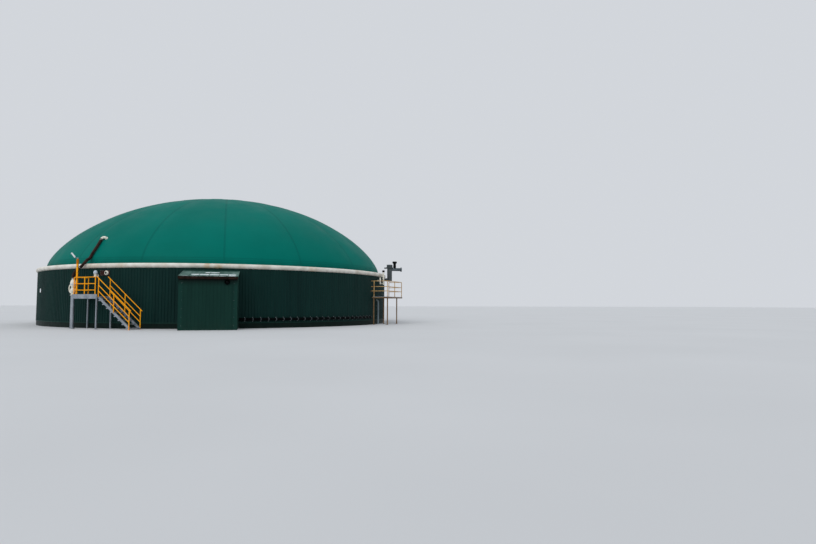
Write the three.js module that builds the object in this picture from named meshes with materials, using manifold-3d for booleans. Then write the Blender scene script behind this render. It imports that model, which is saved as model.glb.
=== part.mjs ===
// Biogas digester: a round concrete tank in insulated ribbed cladding, closed by an air-supported
// membrane dome, with a lean-to housing, two service platforms and the fittings of the gas space.
// Millimetres, +Z up. The origin is the tank's axis at ground level, and the housing faces -Y.
// Azimuths are in degrees from -Y towards +X.

import * as THREE from 'three';
import { mergeVertices } from 'three/addons/utils/BufferGeometryUtils.js';
import Module from 'manifold-3d';

const wasm = await Module();
wasm.setup();

// Tank and cladding
const TANK_INNER_R = 12000;
const TANK_OUTER_R = 12300;
const CLADDING_R = 12500;
const SLAB_TOP = 300;
const WALL_TOP = 3480;
const SIDES = 72; // flat sides of every full round of the tank
const SIDE_ANGLE = 360 / SIDES;
const SIDE_DISTANCE = CLADDING_R * Math.cos(THREE.MathUtils.degToRad(SIDE_ANGLE / 2));
const WALL_SECTORS = 4;
const SEAT_GAP = 0.3; // gap kept where a piece rests on its neighbour in a turned group

// Clamp band on the wall's top, and the membrane dome clamped in it
const BAND_INNER_R = 11900;
const BAND_OUTER_R = 12580;
const BAND_TOP = 3760;
const BAND_ROUNDING = { in: 70, up: 45, side: 20 };
const DOME_R = 12000;
const DOME_RISE = 5690;
const DOME_THICKNESS = 60;
const DOME_ELLIPSE_SHARE = 0.5; // the dome's outline lies between a spherical cap and an ellipse
const DOME_ROWS_OUTSIDE = 14;
const DOME_ROWS_INSIDE = 9;

// Pipe round the foot of the wall
const BASE_PIPE_RADIUS = 80;
const BASE_PIPE_Z = 530;
const BASE_PIPE_TO = 55;

// Lean-to housing
const HOUSE_WIDTH = 3050;
const HOUSE_FRONT_Y = -14500;
const HOUSE_WALL = 50;
const HOUSE_EAVE_Z = 2910;
const HOUSE_FASCIA = 130;
const HOUSE_RIDGE_Z = 3330;
const HOUSE_RIDGE_Y = -12400;
const ROOF_THICKNESS = 60;
const ROOF_OVERHANG = 25;
const FRONT_LAMP = { x: 985, width: 290, depth: 160, height: 300, top: 2760 };

// Platform and stair on the left, in a frame whose X runs along the wall and whose -Y points away
const PLATFORM_AZIMUTH = -32.5;
const PLATFORM_FROM = -300;
const PLATFORM_TO = 1480;
const PLATFORM_Z = 1850;
const PLATFORM_INNER = 12530;
const PLATFORM_OUTER = 13600;
const PLATFORM_BEAM_DEPTH = 120;
const RAIL_FROM = PLATFORM_FROM + 60;
const RAIL_TO = PLATFORM_TO - 180;
const RAIL_INNER = 12750;
const RAIL_OUTER = 13550;
const RAIL_HEIGHTS = [330, 690, 1055];
const DECK_THICKNESS = 30;
const BEAM_WIDTH = 60;
const LEG = 70;
const RAIL_RADIUS = 22;
const POST_RADIUS = 26;
const TUBE_SIDES = 8;

const STAIR_TREADS = 8;
const STAIR_RISE = 218.5;
const STAIR_GOING = 279.5;
const STAIR_SLOPE = STAIR_RISE / STAIR_GOING;
const STAIR_END = PLATFORM_TO + STAIR_TREADS * STAIR_GOING; // the lowest tread's front edge
const STRINGER_DEPTH = 130;
const STRINGER_THICKNESS = 12;
const TREAD_DEPTH = 240;
const TREAD_THICKNESS = 35;
const HANDRAIL_HEIGHT = 1020; // above the line of the treads' front edges
const STAIR_RAIL_DROPS = [0, 380, 700]; // of the three sloping rails, below the handrail
const RAIL_TO_STRINGER = POST_RADIUS + SEAT_GAP + STRINGER_THICKNESS / 2; // posts stand outside
const STRINGER_INNER = RAIL_INNER + RAIL_TO_STRINGER;
const STRINGER_OUTER = RAIL_OUTER - RAIL_TO_STRINGER;

// Lamp, valve and hose beside the platform
const LAMP_POST = { x: -150, distance: 13455, radius: 57, top: 3960 };
const FLOODLIGHT = { length: 320, width: 260, thickness: 75, tilt: 54, turn: 48.5, arm: 130 };
const VALVE = { x: -830, distance: 13100, foot: 1900, top: 2860 };
const COLUMN_RADIUS = 100;
const HOSE_RADIUS = 85;
const HOSE_SIDES = 10;
const HOSE_OFF_DOME = 100;
const ELBOW = { radius: 80, bend: 95, straight: 40, collar: 100 };

// Fittings on the wall
const SIGHT_AZIMUTH = -27.5;
const SIGHT_Z = 3200;
const SIGHT_PLATE = { x: -250, width: 640, height: 300, thickness: 30 };
const SIGHT_GLASS = { x: -113, radius: 125, innerRadius: 100, depth: 90 };
const VENT_VALVE = { x: 330, distance: SIDE_DISTANCE + 170, bottom: 2960 };
const PLATE = { azimuth: -62.5, x: 330, width: 300, height: 250, thickness: 8, z: 2245 };

// Service platform and gas fittings on the right
const SERVICE_AZIMUTH = 57.5;
const SERVICE_FROM = -420;
const SERVICE_TO = 2720;
const SERVICE_Z = 1980;
const SERVICE_INNER = 12665;
const SERVICE_OUTER = 13770;
const SERVICE_BEAM_DEPTH = 70;
const SERVICE_LEGS = [-360, 1580]; // the deck runs on past the second pair
const SERVICE_RAIL_HEIGHTS = [400, 710, 1110];
const RISER = {
  x: 3750, distance: 12360, radius: 190, headRadius: 225, flangeRadius: 260, bottom: 3200, top: 4530,
};
const RISER_INLET = { z: 4260, radius: 55, length: 415 };
const OFFTAKE = { z: 3350, radius: 110 };
const OUTLET = { z: 4160, radius: 120, length: 950, flangeRadius: 170, flangeThickness: 30 };
const MUSHROOM_VENT = { from: 400, radius: 107, capRadius: 174, bottom: 4620, top: 4790 };
const SIDE_VALVE = { x: 1060, distance: 12620, radius: 65, endRadius: 48, bottom: 2926, top: 3404 };
const SMALL_VENT = { x: 1675, distance: 12640, radius: 62, capRadius: 100, bottom: 2880, top: 3965 };
const DRAIN = { x: 744, distance: 12600, radius: 60, top: 1740 };

const COLOURS = {
  concrete: [0x9a9a94, 0.9, 0],
  cladding: [0x1b322d, 0.5, 0.2],
  membrane: [0x0f6b60, 0.55, 0],
  cream: [0xd8d3c4, 0.6, 0],
  black: [0x131615, 0.6, 0],
  brown: [0x33231f, 0.7, 0],
  roof: [0x5d6f69, 0.6, 0.1],
  yellow: [0xe2a32c, 0.45, 0.1],
  sand: [0xb99a68, 0.55, 0.1],
  galvanised: [0x8b939c, 0.45, 0.8],
  hose: [0x2a1d1c, 0.7, 0],
  grey: [0x6f787c, 0.5, 0.2],
};

const digester = new THREE.Group();

/** Adds a named piece to a group, with a material of its own. */
function addPiece(parent, name, geometry, colour) {
  const [color, roughness, metalness] = COLOURS[colour];
  const piece = new THREE.Mesh(geometry, new THREE.MeshStandardMaterial({ color, roughness, metalness }));
  piece.name = name;
  parent.add(piece);
  return piece;
}

/** A group turned so that its -Y points away from the tank at an azimuth. */
function groupAt(azimuth) {
  const group = new THREE.Group();
  group.rotation.z = THREE.MathUtils.degToRad(azimuth);
  digester.add(group);
  return group;
}

/** Turns a geometry into a manifold solid. */
function toSolid(geometry) {
  const bare = new THREE.BufferGeometry();
  bare.setAttribute('position', geometry.getAttribute('position'));
  bare.setIndex(geometry.getIndex());
  const merged = mergeVertices(bare, 0.005);
  return new wasm.Manifold(new wasm.Mesh({
    numProp: 3,
    vertProperties: new Float32Array(merged.getAttribute('position').array),
    triVerts: new Uint32Array(merged.getIndex().array),
  }));
}

function toGeometry(solid) {
  const mesh = solid.getMesh();
  const geometry = new THREE.BufferGeometry();
  geometry.setAttribute('position', new THREE.BufferAttribute(mesh.vertProperties, 3));
  geometry.setIndex(new THREE.BufferAttribute(mesh.triVerts, 1));
  geometry.computeVertexNormals();
  return geometry;
}

/** Joins geometries that overlap into one body. */
function fuse(...geometries) {
  const solids = geometries.map(toSolid);
  return toGeometry(solids.reduce((joined, solid) => joined.add(solid)));
}

/** Takes the cutters away from a geometry. */
function cut(geometry, ...cutters) {
  return toGeometry(cutters.reduce((left, cutter) => left.subtract(toSolid(cutter)), toSolid(geometry)));
}

/** A box between two corners. */
function boxBetween([x0, y0, z0], [x1, y1, z1]) {
  const box = new THREE.BoxGeometry(x1 - x0, y1 - y0, z1 - z0);
  return box.translate((x0 + x1) / 2, (y0 + y1) / 2, (z0 + z1) / 2);
}

/** A straight round bar between two points. */
function bar(from, to, radius, sides = TUBE_SIDES) {
  const start = new THREE.Vector3(...from);
  const end = new THREE.Vector3(...to);
  const geometry = new THREE.CylinderGeometry(radius, radius, start.distanceTo(end), sides);
  const direction = end.clone().sub(start).normalize();
  const turn = new THREE.Quaternion().setFromUnitVectors(new THREE.Vector3(0, 1, 0), direction);
  const middle = start.add(end).multiplyScalar(0.5);
  return geometry.applyQuaternion(turn).translate(middle.x, middle.y, middle.z);
}

/** The smooth curve through points. */
function curveThrough(points) {
  return new THREE.CatmullRomCurve3(points.map((point) => new THREE.Vector3(...point)));
}

/** A tube along the smooth curve through points. */
function tubeThrough(points, radius, sides, steps) {
  const outline = new THREE.Shape();
  for (let side = 0; side < sides; side += 1) {
    const angle = (2 * Math.PI * side) / sides;
    const point = [radius * Math.cos(angle), radius * Math.sin(angle)];
    if (side === 0) outline.moveTo(...point);
    else outline.lineTo(...point);
  }
  const extrudePath = curveThrough(points);
  return new THREE.ExtrudeGeometry(outline, { steps, extrudePath, bevelEnabled: false });
}

/** A body of revolution about +Z from [radius, z] points that start and end on the axis. */
function turned(profile, sides) {
  const points = profile.map(([radius, z]) => new THREE.Vector2(radius, z));
  return new THREE.LatheGeometry(points, sides).rotateX(Math.PI / 2);
}

/** A flat plate: an outline in the plane of Y and Z, made thick along X. */
function plateAcrossX(outline, fromX, thickness) {
  const shape = new THREE.Shape(outline.map(([y, z]) => new THREE.Vector2(y, z)));
  const geometry = new THREE.ExtrudeGeometry(shape, { depth: thickness, bevelEnabled: false });
  // The extrusion's axes x, y, z become Y, Z, X.
  const axes = new THREE.Matrix4().makeBasis(
    new THREE.Vector3(0, 1, 0), new THREE.Vector3(0, 0, 1), new THREE.Vector3(1, 0, 0));
  return geometry.applyMatrix4(axes).translate(fromX, 0, 0);
}

/** A flat plate: an outline in the plane of X and Z, made thick along +Y. */
function plateAcrossY(outline, fromY, thickness) {
  const shape = new THREE.Shape(outline.map(([x, z]) => new THREE.Vector2(x, z)));
  const geometry = new THREE.ExtrudeGeometry(shape, { depth: thickness, bevelEnabled: false });
  return geometry.rotateX(Math.PI / 2).translate(0, fromY + thickness, 0);
}

/** A point at a radius and azimuth from the tank's axis. */
function polar(radius, azimuth, z = 0) {
  const angle = THREE.MathUtils.degToRad(azimuth);
  return [radius * Math.sin(angle), -radius * Math.cos(angle), z];
}

/** An upright sector of a ring between two azimuths, with the tank's flat sides. */
function ringSector(inner, outer, bottom, top, from, to) {
  const steps = Math.round((to - from) / SIDE_ANGLE);
  const azimuths = Array.from({ length: steps + 1 }, (_, step) => from + step * SIDE_ANGLE);
  const corners = [
    ...azimuths.map((azimuth) => polar(outer, azimuth)),
    ...azimuths.toReversed().map((azimuth) => polar(inner, azimuth)),
  ];
  const shape = new THREE.Shape(corners.map(([x, y]) => new THREE.Vector2(x, y)));
  const ring = new THREE.ExtrudeGeometry(shape, { depth: top - bottom, bevelEnabled: false });
  return ring.translate(0, 0, bottom);
}

/** Turns a shape of the whole tank into the frame of a group at an azimuth. */
function inGroupFrame(geometry, azimuth) {
  return geometry.rotateZ(-THREE.MathUtils.degToRad(azimuth));
}

/** The part of a full ring between two azimuths. */
function sectorOf(ring, from, to) {
  const reach = 2 * BAND_OUTER_R;
  const wedge = new THREE.Shape([
    new THREE.Vector2(0, 0),
    new THREE.Vector2(...polar(reach, from)),
    new THREE.Vector2(...polar(reach, to)),
  ]);
  const cutter = new THREE.ExtrudeGeometry(wedge, { depth: 2 * BAND_TOP, bevelEnabled: false });
  return toGeometry(toSolid(ring).intersect(toSolid(cutter)));
}

/** The tank's outside as one solid, a seat's gap larger, for cutting what stands against the wall. */
function wallCutter() {
  const radius = CLADDING_R + SEAT_GAP / Math.cos(THREE.MathUtils.degToRad(SIDE_ANGLE / 2));
  const cylinder = new THREE.CylinderGeometry(radius, radius, 2 * WALL_TOP, SIDES);
  return cylinder.rotateX(Math.PI / 2).translate(0, 0, WALL_TOP);
}

/** The dome's height above its clamped edge at a radius. */
function domeRise(radius) {
  const sphere = (DOME_R ** 2 + DOME_RISE ** 2) / (2 * DOME_RISE);
  const cap = Math.sqrt(sphere ** 2 - radius ** 2) - (sphere - DOME_RISE);
  const ellipse = DOME_RISE * Math.sqrt(Math.max(0, 1 - (radius / DOME_R) ** 2));
  return DOME_ELLIPSE_SHARE * ellipse + (1 - DOME_ELLIPSE_SHARE) * cap;
}

/** Points [radius, z] on the dome's outside from its edge to its crown, moved in by a depth. */
function domeProfile(rows, depth) {
  const points = [];
  for (let row = 0; row <= rows; row += 1) {
    const angle = (Math.PI / 2) * (row / rows);
    const radius = DOME_R * Math.cos(angle);
    const shrink = 1 - depth / DOME_R;
    const rise = Math.max(0, domeRise(radius)) * (1 - depth / DOME_RISE);
    points.push([row === rows ? 0 : radius * shrink, BAND_TOP + rise]);
  }
  return points;
}

/** The dome as one solid, a seat's gap larger, for cutting what stands on the membrane. */
function domeCutter() {
  return turned([[0, BAND_TOP], ...domeProfile(DOME_ROWS_OUTSIDE, -SEAT_GAP)], SIDES);
}

/** A point off the dome's outside: its distance from the axis and its height, at a radius. */
function offDome(radius, offset) {
  const step = 10;
  const slope = (domeRise(radius + step) - domeRise(radius - step)) / (2 * step);
  const length = Math.hypot(slope, 1);
  return [radius - (slope / length) * offset, BAND_TOP + domeRise(radius) + offset / length];
}

function addTank() {
  const slab = new THREE.CylinderGeometry(TANK_OUTER_R, TANK_OUTER_R, SLAB_TOP, SIDES);
  addPiece(digester, 'floor_slab', slab.rotateX(Math.PI / 2).translate(0, 0, SLAB_TOP / 2), 'concrete');
  const sector = 360 / WALL_SECTORS;
  for (let index = 0; index < WALL_SECTORS; index += 1) {
    const from = (index - 0.5) * sector;
    const wall = ringSector(TANK_INNER_R, TANK_OUTER_R, SLAB_TOP, WALL_TOP, from, from + sector);
    addPiece(digester, `tank_wall_${index + 1}`, wall, 'concrete');
    const cladding = ringSector(TANK_OUTER_R, CLADDING_R, 0, WALL_TOP, from, from + sector);
    addPiece(digester, `cladding_${index + 1}`, cladding, 'cladding');
  }
}

/** The cream band: a rounded section that caps the wall and overhangs the cladding. */
function addBand() {
  const edge = BAND_OUTER_R - BAND_ROUNDING.in;
  const side = BAND_OUTER_R - BAND_ROUNDING.side;
  const section = [
    [BAND_INNER_R, WALL_TOP], [edge, WALL_TOP], [side, WALL_TOP + BAND_ROUNDING.up],
    [BAND_OUTER_R, (WALL_TOP + BAND_TOP) / 2], [side, BAND_TOP - BAND_ROUNDING.up], [edge, BAND_TOP],
    [BAND_INNER_R, BAND_TOP],
  ];
  const ring = turned([...section, section[0]], SIDES);
  const sector = 360 / WALL_SECTORS;
  for (let index = 0; index < WALL_SECTORS; index += 1) {
    const from = (index - 0.5) * sector;
    addPiece(digester, `clamp_band_${index + 1}`, sectorOf(ring, from, from + sector), 'cream');
  }
}

function addDome() {
  const outside = domeProfile(DOME_ROWS_OUTSIDE, 0);
  const inside = domeProfile(DOME_ROWS_INSIDE, DOME_THICKNESS);
  const profile = [...inside.toReversed(), ...outside];
  addPiece(digester, 'dome_membrane', turned(profile, SIDES), 'membrane');
}

/** The dark pipe that runs round the foot of the wall, from the housing to the service platform. */
function addBasePipe() {
  const middle = CLADDING_R + SEAT_GAP + BASE_PIPE_RADIUS;
  const section = [];
  for (let side = 0; side <= TUBE_SIDES; side += 1) {
    const angle = (2 * Math.PI * side) / TUBE_SIDES;
    section.push([
      middle + BASE_PIPE_RADIUS * Math.cos(angle),
      BASE_PIPE_Z + BASE_PIPE_RADIUS * Math.sin(angle),
    ]);
  }
  const half = HOUSE_WIDTH / 2;
  const pipe = sectorOf(turned(section, SIDES), 0, BASE_PIPE_TO);
  const house = boxBetween([-half, -2 * CLADDING_R, -1], [half, 0, HOUSE_RIDGE_Z]);
  addPiece(digester, 'base_pipe', cut(pipe, house), 'black');
}

/** The roof's underside height at a Y. */
function roofUnderside(y) {
  const front = HOUSE_FRONT_Y - 2 * HOUSE_WALL;
  const share = (y - front) / (HOUSE_RIDGE_Y - front);
  return HOUSE_EAVE_Z - ROOF_THICKNESS + share * (HOUSE_RIDGE_Z - HOUSE_EAVE_Z);
}

/** The height of the walls' top under the roof at a Y. */
function houseWallTop(y) {
  return roofUnderside(y) - SEAT_GAP;
}

function addHouse() {
  const half = HOUSE_WIDTH / 2;
  const wall = wallCutter();
  const inside = HOUSE_FRONT_Y + HOUSE_WALL;
  const front = plateAcrossX([
    [HOUSE_FRONT_Y, 0], [inside, 0], [inside, houseWallTop(inside)],
    [HOUSE_FRONT_Y, houseWallTop(HOUSE_FRONT_Y)],
  ], -half, HOUSE_WIDTH);
  addPiece(digester, 'house_front', front, 'cladding');

  const side = [
    [inside, 0], [HOUSE_RIDGE_Y, 0], [HOUSE_RIDGE_Y, houseWallTop(HOUSE_RIDGE_Y)],
    [inside, houseWallTop(inside)],
  ];
  addPiece(digester, 'house_left', cut(plateAcrossX(side, -half, HOUSE_WALL), wall), 'cladding');
  addPiece(digester, 'house_right', cut(plateAcrossX(side, half - HOUSE_WALL, HOUSE_WALL), wall), 'cladding');

  const eaveY = HOUSE_FRONT_Y - 2 * HOUSE_WALL;
  const roof = plateAcrossX([
    [eaveY, HOUSE_EAVE_Z - HOUSE_FASCIA], [HOUSE_FRONT_Y, HOUSE_EAVE_Z - HOUSE_FASCIA],
    [HOUSE_FRONT_Y, roofUnderside(HOUSE_FRONT_Y)], [HOUSE_RIDGE_Y, roofUnderside(HOUSE_RIDGE_Y)],
    [HOUSE_RIDGE_Y, HOUSE_RIDGE_Z], [eaveY, HOUSE_EAVE_Z],
  ], -half - ROOF_OVERHANG, HOUSE_WIDTH + 2 * ROOF_OVERHANG);
  addPiece(digester, 'house_roof', cut(roof, wall), 'roof');

  const lampSide = FRONT_LAMP.width / 2;
  const lamp = boxBetween(
    [FRONT_LAMP.x - lampSide, HOUSE_FRONT_Y - FRONT_LAMP.depth, FRONT_LAMP.top - FRONT_LAMP.height],
    [FRONT_LAMP.x + lampSide, HOUSE_FRONT_Y, FRONT_LAMP.top]);
  addPiece(digester, 'house_lamp', lamp, 'black');
}

/** A deck on a frame of four beams and legs that is tied to the wall, as two geometries. */
function walkway({ from, to, inner, outer, z, beamDepth, legsAt, tiesAt }) {
  const deckBottom = z - DECK_THICKNESS;
  const beamTop = deckBottom - SEAT_GAP;
  const beamBottom = beamTop - beamDepth;
  const deck = boxBetween([from, -outer, deckBottom], [to, -inner, z]);
  const parts = [
    boxBetween([from, -outer, beamBottom], [to, -outer + BEAM_WIDTH, beamTop]),
    boxBetween([from, -inner - BEAM_WIDTH, beamBottom], [to, -inner, beamTop]),
  ];
  for (const x of [from, to - BEAM_WIDTH]) {
    parts.push(boxBetween([x, -outer, beamBottom], [x + BEAM_WIDTH, -inner, beamTop]));
  }
  for (const x of legsAt) {
    for (const y of [-outer, -inner - LEG]) {
      parts.push(boxBetween([x - LEG / 2, y, 0], [x + LEG / 2, y + LEG, beamTop - 1]));
    }
  }
  for (const x of tiesAt) {
    parts.push(boxBetween(
      [x - LEG / 2, -inner - BEAM_WIDTH / 2, beamBottom + beamDepth / 6],
      [x + LEG / 2, -SIDE_DISTANCE - SEAT_GAP, beamTop - beamDepth / 6]));
  }
  return { deck, frame: fuse(...parts) };
}

/** A level rail: posts on corner points of a path, and rails between them. */
function levelRail(corners, posts, floor, heights) {
  const parts = [];
  const top = floor + heights.at(-1);
  for (const [x, y] of posts) {
    parts.push(bar([x, y, floor + SEAT_GAP], [x, y, top], POST_RADIUS));
  }
  for (const height of heights) {
    for (let index = 1; index < corners.length; index += 1) {
      const [x0, y0] = corners[index - 1];
      const [x1, y1] = corners[index];
      parts.push(bar([x0, y0, floor + height], [x1, y1, floor + height], RAIL_RADIUS));
    }
  }
  return fuse(...parts);
}

/** The height of the line of the treads' front edges at an X along the platform. */
function noseLine(x) {
  return PLATFORM_Z - (x - PLATFORM_TO) * STAIR_SLOPE;
}

/** The height of the stringers' top edge at an X along the platform. */
function stringerTop(x) {
  return noseLine(x) + 50;
}

/** The stair: two stringers with open treads between them, one body. */
function stairFlight() {
  const top = PLATFORM_TO + SEAT_GAP;
  const nose = STAIR_END + 60;
  const drop = STRINGER_DEPTH * Math.hypot(1, STAIR_SLOPE);
  const level = PLATFORM_Z - 5;
  const topCorner = PLATFORM_TO + (stringerTop(PLATFORM_TO) - level) / STAIR_SLOPE;
  const footCorner = PLATFORM_TO + (stringerTop(PLATFORM_TO) - drop) / STAIR_SLOPE;
  const outline = [
    [top, level], [top, stringerTop(top) - drop], [footCorner, 0],
    [nose, 0], [nose, stringerTop(nose)], [topCorner, level],
  ];
  const parts = [STRINGER_OUTER, STRINGER_INNER].map(
    (distance) => plateAcrossY(outline, -distance - STRINGER_THICKNESS / 2, STRINGER_THICKNESS));
  for (let step = 1; step <= STAIR_TREADS; step += 1) {
    const x = PLATFORM_TO + step * STAIR_GOING;
    const z = PLATFORM_Z - step * STAIR_RISE;
    parts.push(boxBetween(
      [x - TREAD_DEPTH, -STRINGER_OUTER, z - TREAD_THICKNESS], [x, -STRINGER_INNER, z]));
  }
  return fuse(...parts);
}

/** A sloping stair rail: posts on the outside of a stringer, the last one down to the ground. */
function stairRail(distance, postXs) {
  const y = -distance;
  const handrail = (x) => noseLine(x) + HANDRAIL_HEIGHT;
  const first = postXs[0];
  const last = postXs.at(-1);
  const bottom = (x) => (x === last ? 0 : stringerTop(x) - STRINGER_DEPTH / 2);
  const parts = postXs.map((x) => bar([x, y, bottom(x)], [x, y, handrail(x)], POST_RADIUS));
  STAIR_RAIL_DROPS.forEach((drop, index) => {
    const [from, to] = index === 0 ? [PLATFORM_TO - 100, last + 110] : [first, last];
    parts.push(bar([from, y, handrail(from) - drop], [to, y, handrail(to) - drop], RAIL_RADIUS));
  });
  return fuse(...parts);
}

function addPlatform() {
  const group = groupAt(PLATFORM_AZIMUTH);
  const { deck, frame } = walkway({
    from: PLATFORM_FROM, to: PLATFORM_TO, inner: PLATFORM_INNER, outer: PLATFORM_OUTER, z: PLATFORM_Z,
    beamDepth: PLATFORM_BEAM_DEPTH, legsAt: [PLATFORM_FROM + LEG / 2, PLATFORM_TO - LEG / 2],
    tiesAt: [-200, 400],
  });
  addPiece(group, 'platform_deck', deck, 'galvanised');
  addPiece(group, 'platform_frame', frame, 'galvanised');

  const corners = [[RAIL_FROM, -PLATFORM_INNER - 60], [RAIL_FROM, -RAIL_OUTER], [RAIL_TO, -RAIL_OUTER]];
  const posts = [...corners, [(RAIL_FROM + RAIL_TO) / 2, -RAIL_OUTER]];
  addPiece(group, 'platform_rail', levelRail(corners, posts, PLATFORM_Z, RAIL_HEIGHTS), 'yellow');

  addPiece(group, 'stair_flight', stairFlight(), 'galvanised');
  const first = PLATFORM_TO + 60;
  const last = STAIR_END + 24;
  const middle = (first + last) / 2;
  addPiece(group, 'stair_rail_inner', stairRail(RAIL_INNER, [first, middle, last]), 'yellow');
  addPiece(group, 'stair_rail_outer', stairRail(RAIL_OUTER, [first, middle, last]), 'yellow');
}

/** The lamp post, and the floodlight on it: a foot, an arm and a head that is turned away. */
function addLamp() {
  const group = groupAt(PLATFORM_AZIMUTH);
  const { x, distance, radius, top } = LAMP_POST;
  const post = bar([x, -distance, PLATFORM_Z + SEAT_GAP], [x, -distance, top], radius, 16);
  addPiece(group, 'lamp_post', post, 'yellow');

  const { length, width, thickness, tilt, turn, arm } = FLOODLIGHT;
  const head = new THREE.BoxGeometry(length, width, thickness)
    .translate(-length / 2, 0, 0)
    .rotateY(THREE.MathUtils.degToRad(tilt))
    .translate(-arm, 0, 70);
  const stem = boxBetween([-arm - 40, -30, 35], [0, 30, 60]);
  const foot = new THREE.CylinderGeometry(radius - 8, radius - 8, 70, 16).rotateX(Math.PI / 2);
  const lamp = fuse(head, stem, foot.translate(0, 0, 35)).rotateZ(THREE.MathUtils.degToRad(turn));
  addPiece(group, 'floodlight', lamp.translate(x, -distance, top + SEAT_GAP), 'cream');
}

/** The valve of the dome's air space: two bulbs under a cap with a bypass loop, on a pipe column. */
function addValve() {
  const group = groupAt(PLATFORM_AZIMUTH);
  const { x, distance, foot, top } = VALVE;
  const column = bar([x, -distance, 0], [x, -distance, foot - SEAT_GAP], COLUMN_RADIUS, 16);
  addPiece(group, 'relief_column', column, 'galvanised');

  const height = top - foot;
  const profile = [
    [0, 0], [130, 0], [130, 40], [85, 60], [85, 140], [125, 180], [140, 290], [120, 400], [75, 430],
    [75, 480], [140, 520], [150, 640], [150, 760], [110, 870], [70, 900], [70, height], [0, height],
  ];
  const body = turned(profile, 16);
  const loop = tubeThrough(
    [[-70, 0, 600], [-200, 0, 590], [-270, 0, 480], [-265, 0, 300], [-190, 0, 170], [-50, 0, 110]],
    38, 8, 20);
  const valve = fuse(body, loop).translate(x, -distance, foot);
  addPiece(group, 'pressure_valve', valve, 'cream');
}

/** The air hose from the valve over the band and up the dome, and the elbow that lets it in. */
function addHose() {
  const group = groupAt(PLATFORM_AZIMUTH);
  const { x, distance, top } = VALVE;
  const onDome = (along, radius, offset = HOSE_OFF_DOME) => {
    const [out, z] = offDome(radius, offset);
    return [along, -Math.sqrt(out ** 2 - along ** 2), z];
  };
  const route = [
    [x, -distance, top + SEAT_GAP], [x, -distance, 3040], [-805, -13020, 3240], [-768, -12870, 3395],
    [-715, -12755, 3530], [-615, -12705, 3665], [-540, -12610, 3825], [-650, -12375, 3980],
    onDome(-830, 11930, 112), onDome(-795, 11800), onDome(-755, 11560), onDome(-860, 11160),
  ];
  addPiece(group, 'air_hose', tubeThrough(route, HOSE_RADIUS, HOSE_SIDES, 50), 'hose');

  const end = new THREE.Vector3(...route.at(-1));
  const ahead = curveThrough(route).getTangent(1);
  const away = new THREE.Vector3().crossVectors(new THREE.Vector3(1, 0, 0), ahead).normalize();
  const across = new THREE.Vector3().crossVectors(ahead, away);
  const at = (forward, sideways, up) => end.clone()
    .addScaledVector(ahead, forward)
    .addScaledVector(across, sideways)
    .addScaledVector(away, up)
    .toArray();
  const { radius, bend, straight, collar } = ELBOW;
  const turns = [0, 22.5, 45, 67.5, 90].map(THREE.MathUtils.degToRad);
  const sideways = bend + straight;
  const elbowRoute = [
    at(SEAT_GAP, 0, 0),
    ...turns.map((turn) => at(straight + bend * Math.sin(turn), bend * (1 - Math.cos(turn)), 0)),
    ...turns.map((turn) => at(
      straight + bend, sideways + bend * Math.sin(turn), bend * (Math.cos(turn) - 1))),
    at(straight + bend, sideways + bend, -2.5 * bend),
  ];
  const pipe = tubeThrough(elbowRoute, radius, 12, 28);
  const foot = bar(
    at(straight + bend, sideways + bend, -2.5 * bend), at(straight + bend, sideways + bend, -bend / 2),
    collar, 16);
  const elbow = cut(fuse(pipe, foot), inGroupFrame(domeCutter(), PLATFORM_AZIMUTH));
  addPiece(group, 'hose_elbow', elbow, 'cream');
}

/** A small valve under a round cap on a stub from the wall. */
function ventValve() {
  const { x, distance, bottom } = VENT_VALVE;
  const body = turned([
    [0, 0], [75, 0], [75, 150], [60, 170], [110, 190], [110, 290], [85, 350], [0, 385],
  ], 16).translate(x, -distance, bottom);
  const stub = bar([x, -SIDE_DISTANCE + 200, bottom + 80], [x, -distance, bottom + 80], 45, 10);
  return cut(fuse(body, stub), inGroupFrame(wallCutter(), PLATFORM_AZIMUTH));
}

/** Sight glass, vent valve and plate on the wall. */
function addWallFittings() {
  const wall = -SIDE_DISTANCE - SEAT_GAP;
  const sight = groupAt(SIGHT_AZIMUTH);
  const { width, height, thickness } = SIGHT_PLATE;
  addPiece(sight, 'sight_plate', boxBetween(
    [SIGHT_PLATE.x - width / 2, wall - thickness, SIGHT_Z - height / 2],
    [SIGHT_PLATE.x + width / 2, wall, SIGHT_Z + height / 2]), 'brown');
  const { radius, innerRadius, depth } = SIGHT_GLASS;
  const ring = turned(
    [[0, 0], [radius, 0], [radius, depth / 2], [innerRadius, depth], [0, depth]], 20).rotateX(Math.PI / 2);
  const seat = wall - thickness - SEAT_GAP;
  addPiece(sight, 'sight_glass', ring.translate(SIGHT_GLASS.x, seat, SIGHT_Z), 'cream');

  addPiece(groupAt(PLATFORM_AZIMUTH), 'vent_valve', ventValve(), 'cream');

  const plates = groupAt(PLATE.azimuth);
  addPiece(plates, 'wall_plate', boxBetween(
    [PLATE.x - PLATE.width / 2, wall - PLATE.thickness, PLATE.z - PLATE.height / 2],
    [PLATE.x + PLATE.width / 2, wall, PLATE.z + PLATE.height / 2]), 'cream');
}

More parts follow.
